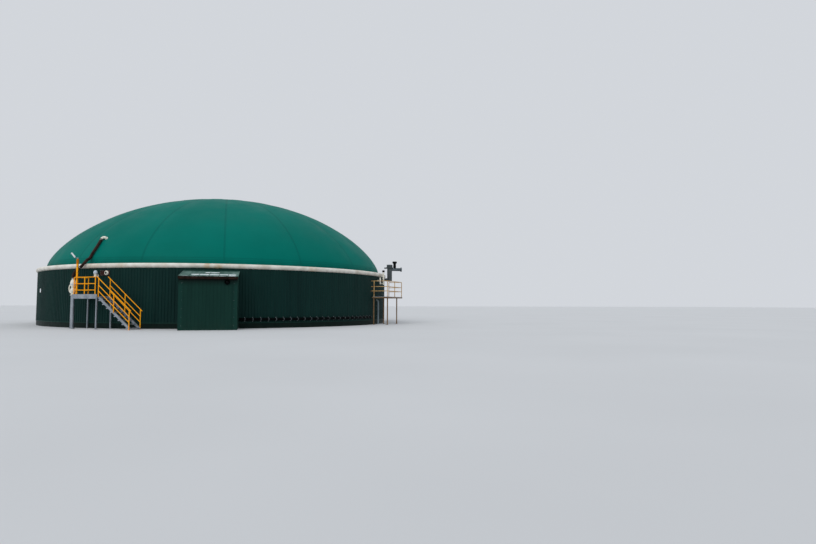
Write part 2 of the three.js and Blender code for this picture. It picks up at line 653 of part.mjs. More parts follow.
function addServicePlatform() {
  const group = groupAt(SERVICE_AZIMUTH);
  const { deck, frame } = walkway({
    from: SERVICE_FROM, to: SERVICE_TO, inner: SERVICE_INNER, outer: SERVICE_OUTER, z: SERVICE_Z,
    beamDepth: SERVICE_BEAM_DEPTH, legsAt: SERVICE_LEGS, tiesAt: [-200, 300],
  });
  addPiece(group, 'service_deck', deck, 'galvanised');
  addPiece(group, 'service_frame', frame, 'sand');
  const left = SERVICE_FROM + 55;
  const right = SERVICE_TO - 53;
  const outer = -SERVICE_OUTER + 40;
  const inner = -SERVICE_INNER - 48;
  const corners = [[left, -SIDE_DISTANCE - SEAT_GAP], [left, outer], [right, outer], [right, inner]];
  const posts = [[left, inner], ...corners.slice(1), [(left + right) / 2, outer]];
  const rail = levelRail(corners, posts, SERVICE_Z, SERVICE_RAIL_HEIGHTS);
  addPiece(group, 'service_rail', rail, 'sand');
}

/** A local point of a group at an azimuth, in the tank's frame. */
function fromGroupFrame([x, y, z], azimuth) {
  return new THREE.Vector3(x, y, z)
    .applyAxisAngle(new THREE.Vector3(0, 0, 1), THREE.MathUtils.degToRad(azimuth))
    .toArray();
}

/** Gas riser on its offtake from the tank, with its inlet, its flanged outlet and the outlet's vent. */
function addGasRiser() {
  const { radius, headRadius, flangeRadius, bottom, top } = RISER;
  const [x, y] = fromGroupFrame([RISER.x, -RISER.distance, 0], SERVICE_AZIMUTH);
  const pipe = turned([
    [0, bottom], [radius * 0.6, bottom + 15], [radius, bottom + 60],
    [radius, top - 290], [flangeRadius, top - 290], [flangeRadius, top - 200],
    [headRadius, top - 200], [headRadius, top - 15], [headRadius - 15, top], [0, top],
  ], 20).translate(x, y, 0);
  const end = x + OUTLET.length;
  const outlet = bar([x, y, OUTLET.z], [end - 5, y, OUTLET.z], OUTLET.radius, 16);
  const flange = bar(
    [end - OUTLET.flangeThickness, y, OUTLET.z], [end, y, OUTLET.z], OUTLET.flangeRadius, 24);
  const offtake = bar([x, y, OFFTAKE.z], [x * 0.9, y * 0.9, OFFTAKE.z], OFFTAKE.radius, 16);
  const inlet = bar(
    [x, y, RISER_INLET.z], [x - RISER_INLET.length, y, RISER_INLET.z], RISER_INLET.radius, 12);
  const riser = cut(fuse(pipe, outlet, flange, offtake, inlet), wallCutter());
  addPiece(digester, 'gas_riser', riser, 'grey');

  const vent = MUSHROOM_VENT;
  const mushroom = turned([
    [0, OUTLET.z], [vent.radius, OUTLET.z], [vent.radius, vent.bottom], [vent.capRadius, vent.bottom + 30],
    [vent.capRadius, vent.top - 20], [vent.capRadius - 30, vent.top], [0, vent.top],
  ], 16).translate(x + vent.from, y, 0);
  const seat = bar([x, y, OUTLET.z], [end, y, OUTLET.z], OUTLET.radius + SEAT_GAP, 16);
  addPiece(digester, 'mushroom_vent', cut(mushroom, seat), 'black');
}

/** A slim upright valve, thicker in the middle, on a stub from the wall. */
function sideValve() {
  const { x, distance, radius, endRadius, bottom, top } = SIDE_VALVE;
  const middle = (bottom + top) / 2;
  const body = turned([
    [0, bottom], [endRadius, bottom], [endRadius, bottom + 90], [radius, bottom + 110],
    [radius, top - 110], [endRadius, top - 90], [endRadius, top], [0, top],
  ], 16).translate(x, -distance, 0);
  return fuse(body, bar([x, -SIDE_DISTANCE + 300, middle], [x, -distance, middle], 40, 10));
}

/** The small pieces on the wall behind the service platform. */
function addServiceFittings() {
  const group = groupAt(SERVICE_AZIMUTH);
  const wall = inGroupFrame(wallCutter(), SERVICE_AZIMUTH);
  addPiece(group, 'side_valve', cut(sideValve(), wall), 'cream');

  const vent = SMALL_VENT;
  const stack = turned([
    [0, vent.bottom], [vent.radius, vent.bottom], [vent.radius, vent.top - 130],
    [vent.capRadius, vent.top - 130], [vent.capRadius, vent.top - 30], [vent.radius, vent.top],
    [0, vent.top],
  ], 12).translate(vent.x, -vent.distance, 0);
  const stub = bar(
    [vent.x, -SIDE_DISTANCE + 400, vent.bottom + 80], [vent.x, -vent.distance, vent.bottom + 80], 40, 10);
  addPiece(group, 'small_vent', cut(fuse(stack, stub), wall), 'cream');

  const { x, distance, radius, top } = DRAIN;
  const pipe = tubeThrough([
    [x, -distance, 0], [x, -distance, top / 2], [x, -distance, top - 200], [x, -distance + 30, top - 60],
    [x, -distance + 160, top], [x, -distance + 300, top],
  ], radius, 10, 16);
  addPiece(group, 'drain_pipe', cut(pipe, wall), 'grey');
}

addTank();
addBand();
addDome();
addBasePipe();
addHouse();
addPlatform();
addLamp();
addValve();
addHose();
addWallFittings();
addServicePlatform();
addGasRiser();
addServiceFittings();

export default digester;
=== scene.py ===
# Biogas digester: the finish of a round tank in ribbed cladding under an air-supported membrane dome, with a
# lean-to housing, two service platforms and the fittings of the gas space. Metres, +Z up. The origin is the
# tank's axis at ground level, and the housing faces -Y. Azimuths are in degrees from -Y towards +X.
import math
from collections import namedtuple

import bmesh
import bpy
from mathutils import Matrix, Vector, noise


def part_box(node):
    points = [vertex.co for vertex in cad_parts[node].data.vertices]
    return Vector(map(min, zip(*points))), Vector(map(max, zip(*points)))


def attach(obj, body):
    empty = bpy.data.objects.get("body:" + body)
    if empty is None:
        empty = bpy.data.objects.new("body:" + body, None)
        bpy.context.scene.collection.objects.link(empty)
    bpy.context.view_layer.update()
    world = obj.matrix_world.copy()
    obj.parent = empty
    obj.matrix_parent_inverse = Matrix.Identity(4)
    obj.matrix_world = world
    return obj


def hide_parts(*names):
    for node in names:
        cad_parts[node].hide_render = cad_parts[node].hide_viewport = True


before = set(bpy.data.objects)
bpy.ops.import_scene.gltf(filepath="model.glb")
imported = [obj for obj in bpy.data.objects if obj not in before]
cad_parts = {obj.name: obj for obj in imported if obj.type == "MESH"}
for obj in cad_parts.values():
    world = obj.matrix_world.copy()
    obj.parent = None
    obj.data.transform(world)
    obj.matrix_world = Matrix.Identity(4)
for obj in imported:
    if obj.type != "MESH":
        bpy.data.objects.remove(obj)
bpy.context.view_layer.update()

UP = (0, 0, 1)
ALONG = (1, 0, 0)
OUTWARD = (0, -1, 0)  # away from the tank, in a frame that is turned to an azimuth
SEAT = 0.0003  # the gap that neighbours keep

# Heights and radii of the tank, from the frame and from the sizes that its solids share
WALL_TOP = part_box("cladding_1")[1].z
BAND_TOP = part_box("clamp_band_1")[1].z
DOME_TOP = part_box("dome_membrane")[1].z
TANK_OUTER_R, CLADDING_R = 12.3, 12.5
FLAT_DEGREES = 5.0  # of one flat side of the frame's round solids
SHEET_R = CLADDING_R * math.cos(math.radians(FLAT_DEGREES / 2))  # the sheet's crests lie on those flats
QUARTERS = [(quarter + 1, (quarter - 0.5) * 90) for quarter in range(4)]  # number and first azimuth

# Ribbed cladding
SHEETS, RIBS_PER_SHEET = 72, 6
RIB_PITCH = 360 / (SHEETS * RIBS_PER_SHEET)
RIB_DEPTH, SHEET_LAP = 0.025, 0.0015
RIB_SHAPE = ((0.0, 1.0), (0.40, 1.0), (0.53, 0.0), (0.87, 0.0))  # share of the pitch, share of the depth
PLINTH_TOP, PLINTH_R = 0.33, SHEET_R - 0.015
SCREW_ROWS = (0.42, 1.45, 2.45, 3.38)

# Clamp band, and the flat on it that clamps the membrane
BAND_INNER_R, BAND_OUTER_R = 11.9, 12.58
BAND_REACH = 0.11  # of the rounded part, outwards
BAND_PIECES, BAND_COLUMNS = 36, 360
RAIL_R, RAIL_HALF, RAIL_BOLTS = 12.12, 0.04, 288

# Dome
DOME_R = 12.0
DOME_RISE = DOME_TOP - BAND_TOP
DOME_ELLIPSE_SHARE = 0.5
DOME_ROWS = 56
DOME_SKIN = 0.05
DOME_SINK = 0.006  # of the membrane in the frame's dome, so that its welds stay inside too
GORES, GORE_FROM, GORE_COLUMNS = 32, 3.0, 12  # the second is the azimuth of one seam
DOME_COLUMNS = GORES * GORE_COLUMNS
DOME_AZIMUTHS = [GORE_FROM + 360 * column / DOME_COLUMNS for column in range(DOME_COLUMNS)]
SEAM_WIDTH, SEAM_HEIGHT, SEAM_ROOT = 0.12, 0.004, 0.006
CREASE_WIDTH = 0.42
CREASE_STRONG, CREASE_WEAK = 0.024, 0.004  # depth at even and at odd seams
CROWN_R = 0.6
EDGE_WELDS = (0.16, 0.26, 0.38)  # heights of the round welds above the band

# Pipe round the foot of the wall
FOOT_PIPE_RADIUS, FOOT_PIPE_Z = 0.08, 0.53
FOOT_PIPE_R = CLADDING_R + SEAT + FOOT_PIPE_RADIUS
FOOT_PIPE_FROM, FOOT_PIPE_TO = 7.0, 55.0
CLAMP_FROM, CLAMP_STEP, CLAMP_HALF, CLAMP_FOOT = 8.6, 2.1, 0.022, 0.13

# Lean-to housing
HOUSE_HALF, HOUSE_WALL = 1.525, 0.05
HOUSE_FRONT_Y, HOUSE_EAVE_Y, HOUSE_RIDGE_Y = -14.5, -14.6, -12.4
HOUSE_EAVE_Z, HOUSE_RIDGE_Z = 2.91, 3.33
ROOF_THICKNESS, ROOF_OVERHANG, ROOF_SEAMS = 0.06, 0.025, 7
FASCIA, FASCIA_LIP = 0.13, 0.018  # the lip stands over the roof's edge
EAVE_SHADE, EAVE_SHADE_BEND = 0.42, 1.3  # depth of the painted shade on the front under the eave, and its falloff
HOUSE_RIB_PITCH, HOUSE_RIB_DEPTH = 0.19, 0.012
CORNER_TRIM, TRIM_OUT, TRIM_IN = 0.20, 0.003, 0.014

# The two platforms, each in a frame whose X runs along the wall and whose -Y points away from the tank
Walkway = namedtuple("Walkway", "side node azimuth start end inner outer z beam legs ties toe rails")
LEFT = Walkway("left", "platform", azimuth=-32.5, start=-0.3, end=1.48, inner=12.53, outer=13.6, z=1.85,
               beam=0.12, legs=(-0.265, 1.445), ties=(-0.2, 0.4), toe=0.1, rails=(0.33, 0.69, 1.055))
RIGHT = Walkway("right", "service", azimuth=57.5, start=-0.42, end=2.72, inner=12.665, outer=13.77, z=1.98,
                beam=0.07, legs=(-0.36, 1.58), ties=(-0.2, 0.3), toe=0.0, rails=(0.4, 0.71, 1.11))
DECK_DEPTH, BEAM_WIDTH, LEG = 0.03, 0.06, 0.07
BAR_EDGE, BAR_HALF, ROD_HALF, ROD_DEPTH = 0.005, 0.0015, 0.003, 0.007
RAIL_INNER, RAIL_OUTER = 12.75, 13.55
RAIL_RADIUS, POST_RADIUS = 0.022, 0.026

# Stair at the left platform's end
STAIR_TREADS, STAIR_RISE, STAIR_GOING = 8, 0.2185, 0.2795
STAIR_SLOPE = STAIR_RISE / STAIR_GOING
STAIR_END = LEFT.end + STAIR_TREADS * STAIR_GOING  # the lowest tread's front edge
STRINGER_DEPTH, STRINGER_THICKNESS, STRINGER_FLANGE = 0.13, 0.012, 0.045
TREAD_DEPTH, TREAD_THICKNESS = 0.24, 0.035
HANDRAIL_HEIGHT = 1.02  # above the line of the treads' front edges
STAIR_RAIL_DROPS = (0.0, 0.38, 0.7)
RAIL_TO_STRINGER = POST_RADIUS + SEAT + STRINGER_THICKNESS / 2

# Lamp, valve, hose
LAMP_X, LAMP_DISTANCE, LAMP_RADIUS, LAMP_TOP, LAMP_CAP = -0.15, 13.455, 0.057, 3.96, 0.28
FLOOD_LENGTH, FLOOD_HALF_WIDTH, FLOOD_HALF_DEPTH, FLOOD_RIM = 0.32, 0.13, 0.0375, 0.018
FLOOD_TILT, FLOOD_TURN, FLOOD_ARM = 54.0, 48.5, 0.13
VALVE_X, VALVE_DISTANCE, VALVE_FOOT, VALVE_TOP = -0.83, 13.1, 1.9, 2.86
HOSE_RADIUS, HOSE_OFF_DOME, HOSE_RING_PITCH, HOSE_RING_DEPTH = 0.085, 0.1, 0.045, 0.012
ELBOW_RADIUS, ELBOW_BEND, ELBOW_STRAIGHT, ELBOW_COLLAR = 0.08, 0.095, 0.04, 0.1

# Wall fittings
SIGHT_AZIMUTH, SIGHT_Z = -27.5, 3.2
SIGHT_PLATE_X, SIGHT_WIDTH, SIGHT_HEIGHT, SIGHT_THICKNESS = -0.25, 0.64, 0.30, 0.03
SIGHT_GLASS_X, SIGHT_GLASS_RADIUS, SIGHT_GLASS_DEPTH = -0.113, 0.125, 0.09
VENT_VALVE_X, VENT_VALVE_OUT, VENT_VALVE_BOTTOM = 0.33, 0.17, 2.96
PLATE_AZIMUTH, PLATE_X, PLATE_Z = -62.5, 0.33, 2.245
PLATE_WIDTH, PLATE_HEIGHT, PLATE_THICKNESS = 0.30, 0.25, 0.004

# Gas riser and its neighbours
RISER_X, RISER_DISTANCE, RISER_RADIUS = 3.75, 12.36, 0.19
RISER_BOTTOM, RISER_TOP = 3.2, 4.53
RISER_HEAD_RADIUS, RISER_FLANGE_RADIUS = 0.225, 0.26
INLET_Z, INLET_RADIUS, INLET_LENGTH = 4.26, 0.055, 0.415
OFFTAKE_Z, OFFTAKE_RADIUS, OFFTAKE_FLANGE, OFFTAKE_LENGTH = 3.35, 0.11, 0.128, 0.62
OUTLET_Z, OUTLET_RADIUS, OUTLET_LENGTH, OUTLET_FLANGE = 4.16, 0.12, 0.95, 0.17
COWL_FROM, COWL_RADIUS, COWL_CAP, COWL_BOTTOM, COWL_TOP = 0.4, 0.107, 0.174, 4.62, 4.79
SIDE_VALVE_X, SIDE_VALVE_DISTANCE, SIDE_VALVE_RADIUS, SIDE_VALVE_END = 1.06, 12.62, 0.065, 0.048
SIDE_VALVE_BOTTOM, SIDE_VALVE_TOP = 2.926, 3.404
STACK_X, STACK_DISTANCE, STACK_RADIUS, STACK_CAP = 1.675, 12.64, 0.062, 0.1
STACK_BOTTOM, STACK_TOP = 2.88, 3.965
DRAIN_X, DRAIN_DISTANCE, DRAIN_RADIUS, DRAIN_TOP = 0.744, 12.6, 0.06, 1.74

# Camera: where the photograph was taken from
CAMERA_AT = (2.970, -47.414, 1.42)
CAMERA_HEADING = 14.0
CAMERA_PITCH = 0.0566
CAMERA_ROLL = 0.0030
FOCAL_PIXELS = 575.0
IMAGE_WIDTH = 816
SENSOR = 36.0


# Colours and materials

def srgb(red, green, blue):
    """A screen colour of 0 to 255 as the shader's linear one."""
    def linear(value):
        share = value / 255
        return share / 12.92 if share <= 0.04045 else ((share + 0.055) / 1.055) ** 2.4
    return (linear(red), linear(green), linear(blue), 1.0)


class Finish:
    """A procedural material: a Principled shader with the nodes that feed it, in metres of the object."""

    def __init__(self, name, roughness, metallic=0.0, shine=0.5):
        self.name = name
        self.material = bpy.data.materials.new(name)
        self.material.use_nodes = True
        self.tree = self.material.node_tree
        self.shader = self.tree.nodes["Principled BSDF"]
        self.set("Roughness", roughness)
        self.set("Metallic", metallic)
        self.set("Specular IOR Level", shine)
        self.place = self.node("TexCoord", {})["Object"]

    def set(self, name, value):
        self.feed(self.shader.inputs[name], value)

    def feed(self, socket, value):
        """Links another socket or sets a value. Colours are screen colours of 0 to 255."""
        if isinstance(value, bpy.types.NodeSocket):
            self.tree.links.new(value, socket)
        else:
            socket.default_value = srgb(*value) if socket.type == "RGBA" else value

    def node(self, kind, inputs, **settings):
        """The outputs of a new node, whose inputs are given by name or number."""
        made = self.tree.nodes.new("ShaderNode" + kind)
        for name, value in settings.items():
            setattr(made, name, value)
        for name, value in inputs.items():
            self.feed(made.inputs[name], value)
        return made.outputs

    def math(self, operation, first, second=0.0):
        return self.node("Math", {0: first, 1: second}, operation=operation)[0]

    def times(self, first, second):
        return self.math("MULTIPLY", first, second)

    def axes(self):
        return self.node("SeparateXYZ", {0: self.place})

    def azimuth(self):
        """Degrees round the tank."""
        x, y, _ = self.axes()
        return self.times(self.math("ARCTAN2", x, self.times(y, -1.0)), 180 / math.pi)

    def noise(self, scale, detail=4.0, stretch=(1.0, 1.0, 1.0), shift=0.0):
        place = self.node("Mapping", {"Scale": stretch, "Location": (shift, 0, 0), "Vector": self.place})[0]
        return self.node("TexNoise", {"Scale": scale, "Detail": detail, "Vector": place})["Fac"]

    def random_of(self, value):
        """A share of 0 to 1 that jumps with each whole number of a value."""
        return self.node("TexWhiteNoise", {"W": self.math("FLOOR", value)}, noise_dimensions="1D")["Value"]

    def span(self, value, low, high, to_low=0.0, to_high=1.0):
        """A value from low to high, stretched to other limits and held there."""
        limits = {"From Min": low, "From Max": high, "To Min": to_low, "To Max": to_high}
        return self.node("MapRange", {"Value": value, **limits})["Result"]

    def cloud(self, scale, detail, low, high, to_low=0.0, to_high=1.0, **moved):
        """Noise between two of its values, stretched to other limits."""
        return self.span(self.noise(scale, detail, **moved), low, high, to_low, to_high)

    def mix(self, share, first, second):
        return self.node("Mix", {0: share, 6: first, 7: second}, data_type="RGBA")[2]

    def bump(self, height, distance, strength=1.0):
        relief = self.node("Bump", {"Distance": distance, "Strength": strength, "Height": height})
        self.set("Normal", relief[0])


def rough_concrete(name):
    made = Finish(name, 0.9)
    made.set("Base Color", made.mix(made.noise(0.9, 6.0), (138, 137, 130), (164, 162, 154)))
    made.bump(made.noise(40.0, 6.0), 0.004)
    return made


def painted_sheet(name, dark, light, sheet_degrees=None, eave=None):
    """Dull coated steel: tone by sheet, faint runs, dust near the ground, and painted shade under an eave."""
    made = Finish(name, 0.5, shine=0.08)
    tone = made.times(made.cloud(2.6, 5.0, 0.3, 0.7, stretch=(1.0, 1.0, 0.12)), 0.65)
    if sheet_degrees:
        sheet = made.random_of(made.math("DIVIDE", made.azimuth(), sheet_degrees))
        tone = made.math("ADD", tone, made.times(sheet, 0.3))
    height = made.axes()[2]
    dust = made.times(made.span(height, 0.0, 0.6, 1.0, 0.0), made.cloud(5.0, 6.0, 0.35, 0.8))
    colour = made.mix(made.times(dust, 0.09), made.mix(tone, dark, light), (84, 82, 66))
    if eave:
        # painted shade: darker towards the top of the front, where the eave's overhang shades it
        under = made.math("POWER", made.span(height, eave - EAVE_SHADE, eave), EAVE_SHADE_BEND)
        colour = made.mix(made.times(under, 0.95), colour, (0, 4, 4))
    made.set("Base Color", colour)
    made.set("Roughness", made.cloud(7.0, 4.0, 0.3, 0.7, 0.42, 0.6))
    made.bump(made.noise(90.0, 2.0), 0.0006, 0.5)
    return made


def stained_cover(name):
    """Cream membrane cover, greyed below, with rusty yellow runs, most of them above the housing."""
    made = Finish(name, 0.6, shine=0.3)
    # greyer towards the band's bottom, in cloudy patches
    under = made.span(made.axes()[2], WALL_TOP, BAND_TOP, 1.0, 0.0)
    tone = made.mix(made.cloud(1.6, 6.0, 0.3, 0.72), (242, 240, 234), (208, 202, 188))
    greyer_below = made.times(under, made.cloud(3.4, 6.0, 0.25, 0.8, 0.25, 0.95))
    grey = made.mix(made.times(greyer_below, 0.8), tone, (128, 126, 116))
    spots = made.cloud(0.75, 5.0, 0.54, 0.70, stretch=(1.0, 1.0, 0.5))
    runs = made.times(spots, made.cloud(7.0, 5.0, 0.32, 0.62, stretch=(1.0, 1.0, 0.25)))
    away = made.math("ABSOLUTE", made.math("SUBTRACT", made.azimuth(), 0.3))
    above_house = made.span(away, 1.6, 3.2, 1.0, 0.0)
    rust = made.times(above_house, made.cloud(2.2, 6.0, 0.40, 0.62, shift=0.2))
    share = made.math("MAXIMUM", made.times(runs, 0.6), rust)
    made.set("Base Color", made.mix(made.times(share, 0.75), grey, (186, 146, 84)))
    made.set("Roughness", made.cloud(9.0, 4.0, 0.3, 0.7, 0.5, 0.72))
    made.bump(made.noise(14.0, 4.0), 0.006, 0.5)
    return made


def coated_fabric(name, dark, light):
    """Faintly uneven pairs of gores, soft clouds, a fine weave, painted sheen to the top, darker near the
    foot.
    """
    made = Finish(name, 0.5, shine=0.03)
    height = made.axes()[2]
    pair = made.math("DIVIDE", made.math("SUBTRACT", made.azimuth(), GORE_FROM), 2 * 360 / GORES)
    clouds = made.times(made.cloud(0.32, 5.0, 0.3, 0.7), 0.35)
    tone = made.math("ADD", made.times(made.random_of(pair), 0.10), clouds)
    # painted light: lighter towards the dome's top, for the sky's sheen there
    tone = made.math("ADD", tone, made.span(height, BAND_TOP, DOME_TOP, 0.0, 0.35))
    # darker green towards the dome's foot above the band, in cloudy patches
    foot = made.span(height, BAND_TOP, BAND_TOP + 0.5, 1.0, 0.0)
    darker_foot = made.times(foot, made.cloud(2.2, 6.0, 0.3, 0.8, stretch=(1.0, 1.0, 0.3)))
    made.set("Base Color", made.mix(made.times(darker_foot, 0.45), made.mix(tone, dark, light), (8, 70, 62)))
    made.set("Roughness", made.cloud(0.8, 5.0, 0.3, 0.7, 0.44, 0.58))
    made.bump(made.noise(260.0, 1.0), 0.0008, 0.4)
    return made


def weathered_roof(name):
    made = Finish(name, 0.5, shine=0.2)
    tone = made.cloud(3.0, 6.0, 0.3, 0.7, stretch=(1.0, 0.35, 1.0))
    made.set("Base Color", made.mix(tone, (54, 86, 79), (98, 128, 121)))
    made.set("Roughness", made.cloud(12.0, 4.0, 0.3, 0.7, 0.35, 0.6))
    made.bump(made.noise(60.0, 3.0), 0.001, 0.5)
    return made


def plain(name, dark, light, roughness, metallic=0.0, scale=6.0, depth=0.001, shine=0.3):
    """Two tones in soft patches, with a fine grain."""
    made = Finish(name, roughness, metallic, shine)
    made.set("Base Color", made.mix(made.cloud(scale, 6.0, 0.32, 0.68), dark, light))
    made.set("Roughness", made.cloud(scale * 3, 4.0, 0.3, 0.7, roughness - 0.08, roughness + 0.08))
    made.bump(made.noise(60.0, 3.0), depth, 0.5)
    return made


def rusty_paint(name, paint, worn, rust, amount, roughness=0.42):
    """Brushed paint on tube, faded in places, with rust where it has chipped."""
    made = Finish(name, roughness, shine=0.12)
    faded = made.mix(made.cloud(3.5, 6.0, 0.35, 0.7), paint, worn)
    chips = made.cloud(24.0, 8.0, 0.70 - amount, 0.76 - amount)
    stains = made.times(made.cloud(2.0, 6.0, 0.45, 0.7), amount * 2.0)
    share = made.math("MAXIMUM", chips, stains)
    made.set("Base Color", made.mix(share, faded, rust))
    made.set("Roughness", made.math("ADD", made.times(share, 0.4), roughness))
    made.bump(made.noise(70.0, 4.0), 0.0012, 0.6)
    return made


def spangled_zinc(name):
    """Zinc with its spangle and dull patches."""
    made = Finish(name, 0.45, 0.55)
    cells = made.node("TexVoronoi", {"Scale": 55.0, "Vector": made.place})["Color"]
    clouds = made.cloud(2.4, 6.0, 0.3, 0.7)
    tone = made.math("ADD", made.times(made.span(cells, 0.2, 0.8), 0.35), made.times(clouds, 0.6))
    made.set("Base Color", made.mix(tone, (116, 124, 134), (176, 182, 188)))
    made.set("Roughness", made.span(clouds, 0.0, 1.0, 0.38, 0.6))
    return made


def smooth(name, dark, light, roughness, scale, shine=0.5):
    """Glass: smooth, in two tones that differ faintly."""
    made = Finish(name, roughness, shine=shine)
    made.set("Base Color", made.mix(made.noise(scale), dark, light))
    return made


FINISHES = {made.name: made.material for made in (
    rough_concrete("concrete"),
    painted_sheet("cladding", (8, 37, 35), (14, 48, 44), 360 / SHEETS),
    painted_sheet("plinth", (4, 22, 19), (7, 30, 26)),
    painted_sheet("housing", (12, 45, 39), (19, 55, 47)),
    painted_sheet("trim", (14, 49, 43), (21, 59, 51)),
    # the housing's front and its trims carry painted shade under the eave
    painted_sheet("house_front", (12, 45, 39), (19, 55, 47), eave=HOUSE_EAVE_Z - FASCIA),
    painted_sheet("front_trim", (14, 49, 43), (21, 59, 51), eave=HOUSE_EAVE_Z - FASCIA),
    stained_cover("band"),
    coated_fabric("membrane", (0, 101, 90), (0, 121, 109)),
    coated_fabric("weld", (0, 93, 83), (0, 112, 101)),
    weathered_roof("roof"),
    plain("frost", (206, 222, 228), (244, 248, 250), 0.6, scale=9.0, depth=0.004),
    plain("fascia", (22, 14, 10), (44, 30, 24), 0.6, shine=0.05),
    plain("black", (5, 7, 7), (14, 17, 17), 0.5, shine=0.08),
    plain("black_pipe", (2, 3, 4), (5, 8, 9), 0.55, scale=2.0, shine=0.03),
    plain("lamp_glass", (2, 3, 5), (7, 9, 11), 0.3, shine=0.08),
    plain("strap", (56, 64, 66), (88, 96, 98), 0.5, shine=0.15),
    spangled_zinc("galvanised"),
    plain("steel", (132, 136, 140), (176, 180, 184), 0.35, 0.8, scale=20.0),
    rusty_paint("yellow", (255, 164, 0), (252, 176, 18), (150, 78, 26), 0.04),
    rusty_paint("orange", (186, 104, 0), (200, 118, 6), (120, 56, 12), 0.05),
    rusty_paint("sand", (210, 178, 120), (192, 160, 106), (150, 88, 50), 0.16, 0.5),
    # a darker copy of the sand paint for the right frame: painted shade under the deck, with a browner rust
    # tone
    rusty_paint("shaded_sand", (136, 112, 80), (116, 94, 66), (96, 60, 38), 0.16, 0.5),
    plain("hose", (30, 17, 15), (58, 38, 32), 0.55, scale=3.0, shine=0.1),
    plain("cream", (222, 218, 200), (238, 236, 226), 0.4, scale=5.0),
    plain("white", (226, 230, 232), (244, 246, 247), 0.35, scale=5.0),
    plain("pale_blue", (176, 194, 208), (206, 218, 228), 0.35, scale=5.0),
    plain("brown", (40, 22, 20), (64, 38, 33), 0.6, shine=0.1),
    plain("grey_pipe", (58, 65, 67), (86, 93, 96), 0.5, scale=2.5, shine=0.2),
    plain("drain", (100, 116, 122), (130, 144, 150), 0.5, scale=2.5, shine=0.2),
    plain("dark_pipe", (66, 76, 82), (90, 101, 108), 0.5, scale=2.5, shine=0.2),
    smooth("glass", (12, 16, 17), (26, 31, 32), 0.12, 6.0, 0.3),
    smooth("lens", (216, 220, 224), (244, 246, 248), 0.25, 30.0),
)}


# Points and faces

def spread(start, end, count):
    """Even values from start to end."""
    return [start + (end - start) * i / (count - 1) for i in range(count)]


def arc(x, y, wide, high, start, end, count):
    """Points of an ellipse round a middle, between two angles in degrees."""
    turns = [math.radians(angle) for angle in spread(start, end, count)]
    return [(x + wide * math.cos(turn), y + high * math.sin(turn)) for turn in turns]


def rectangle(x0, y0, x1, y1):
    """The corners of a rectangle, from two opposite ones."""
    return [(x0, y0), (x1, y0), (x1, y1), (x0, y1)]


def wall_y(x, radius=SHEET_R):
    """The Y of the near side of a circle round the tank's axis, at an X."""
    return -math.sqrt(radius ** 2 - x ** 2)


def turned_by(degrees, axis="Z"):
    """The matrix of a turn about an axis."""
    return Matrix.Rotation(math.radians(degrees), 4, axis)


def polar(radius, azimuth, z=0.0):
    """The point at a radius and azimuth."""
    turn = math.radians(azimuth)
    return Vector((radius * math.sin(turn), -radius * math.cos(turn), z))


def circle(centre, across, up, radius, sides):
    """Points round a centre, in the plane of two vectors."""
    turns = [2 * math.pi * side / sides for side in range(sides)]
    return [centre + radius * (math.cos(turn) * across + math.sin(turn) * up) for turn in turns]


def rounded(corners, bend, steps=6):
    """A path through corners with each inner corner rounded."""
    corners = [Vector(corner) for corner in corners]
    path = [corners[0]]
    for before, corner, after in zip(corners, corners[1:], corners[2:]):
        start = corner + (before - corner).normalized() * bend
        end = corner + (after - corner).normalized() * bend
        for share in spread(0, 1, steps + 1):
            path.append(start.lerp(corner, share).lerp(corner.lerp(end, share), share))
    return [*path, corners[-1]]


def smooth_path(points, steps):
    """The centripetal curve through points, at even steps of its parameter."""
    points = [Vector(point) for point in points]
    ends = [2 * points[0] - points[1], *points, 2 * points[-1] - points[-2]]
    path = []
    for place in spread(0, len(points) - 1, steps + 1):
        index = min(int(place), len(points) - 2)
        four, knots = ends[index:index + 4], [0.0]
        for one, other in zip(four, four[1:]):
            knots.append(knots[-1] + math.sqrt(max((other - one).length, 1e-6)))
        at = knots[1] + (place - index) * (knots[2] - knots[1])
        for first, reach in ((0, 1), (0, 2), (1, 1)):
            limits = list(zip(knots[first:], knots[first + reach:]))
            four = [one.lerp(other, (at - low) / (high - low))
                    for one, other, (low, high) in zip(four, four[1:], limits)]
        path.append(four[0])
    return path


def hoops(start, rows, columns, closed=False):
    """The faces between rows of points that each run round and close on themselves."""
    faces = []
    for row in range(rows if closed else rows - 1):
        low, high = start + row * columns, start + (row + 1) % rows * columns
        faces += [[low + side, low + (side + 1) % columns, high + (side + 1) % columns, high + side]
                  for side in range(columns)]
    return faces


def fan(start, count, tip):
    """The faces from a ring of points to one point."""
    return [[start + side, start + (side + 1) % count, tip] for side in range(count)]


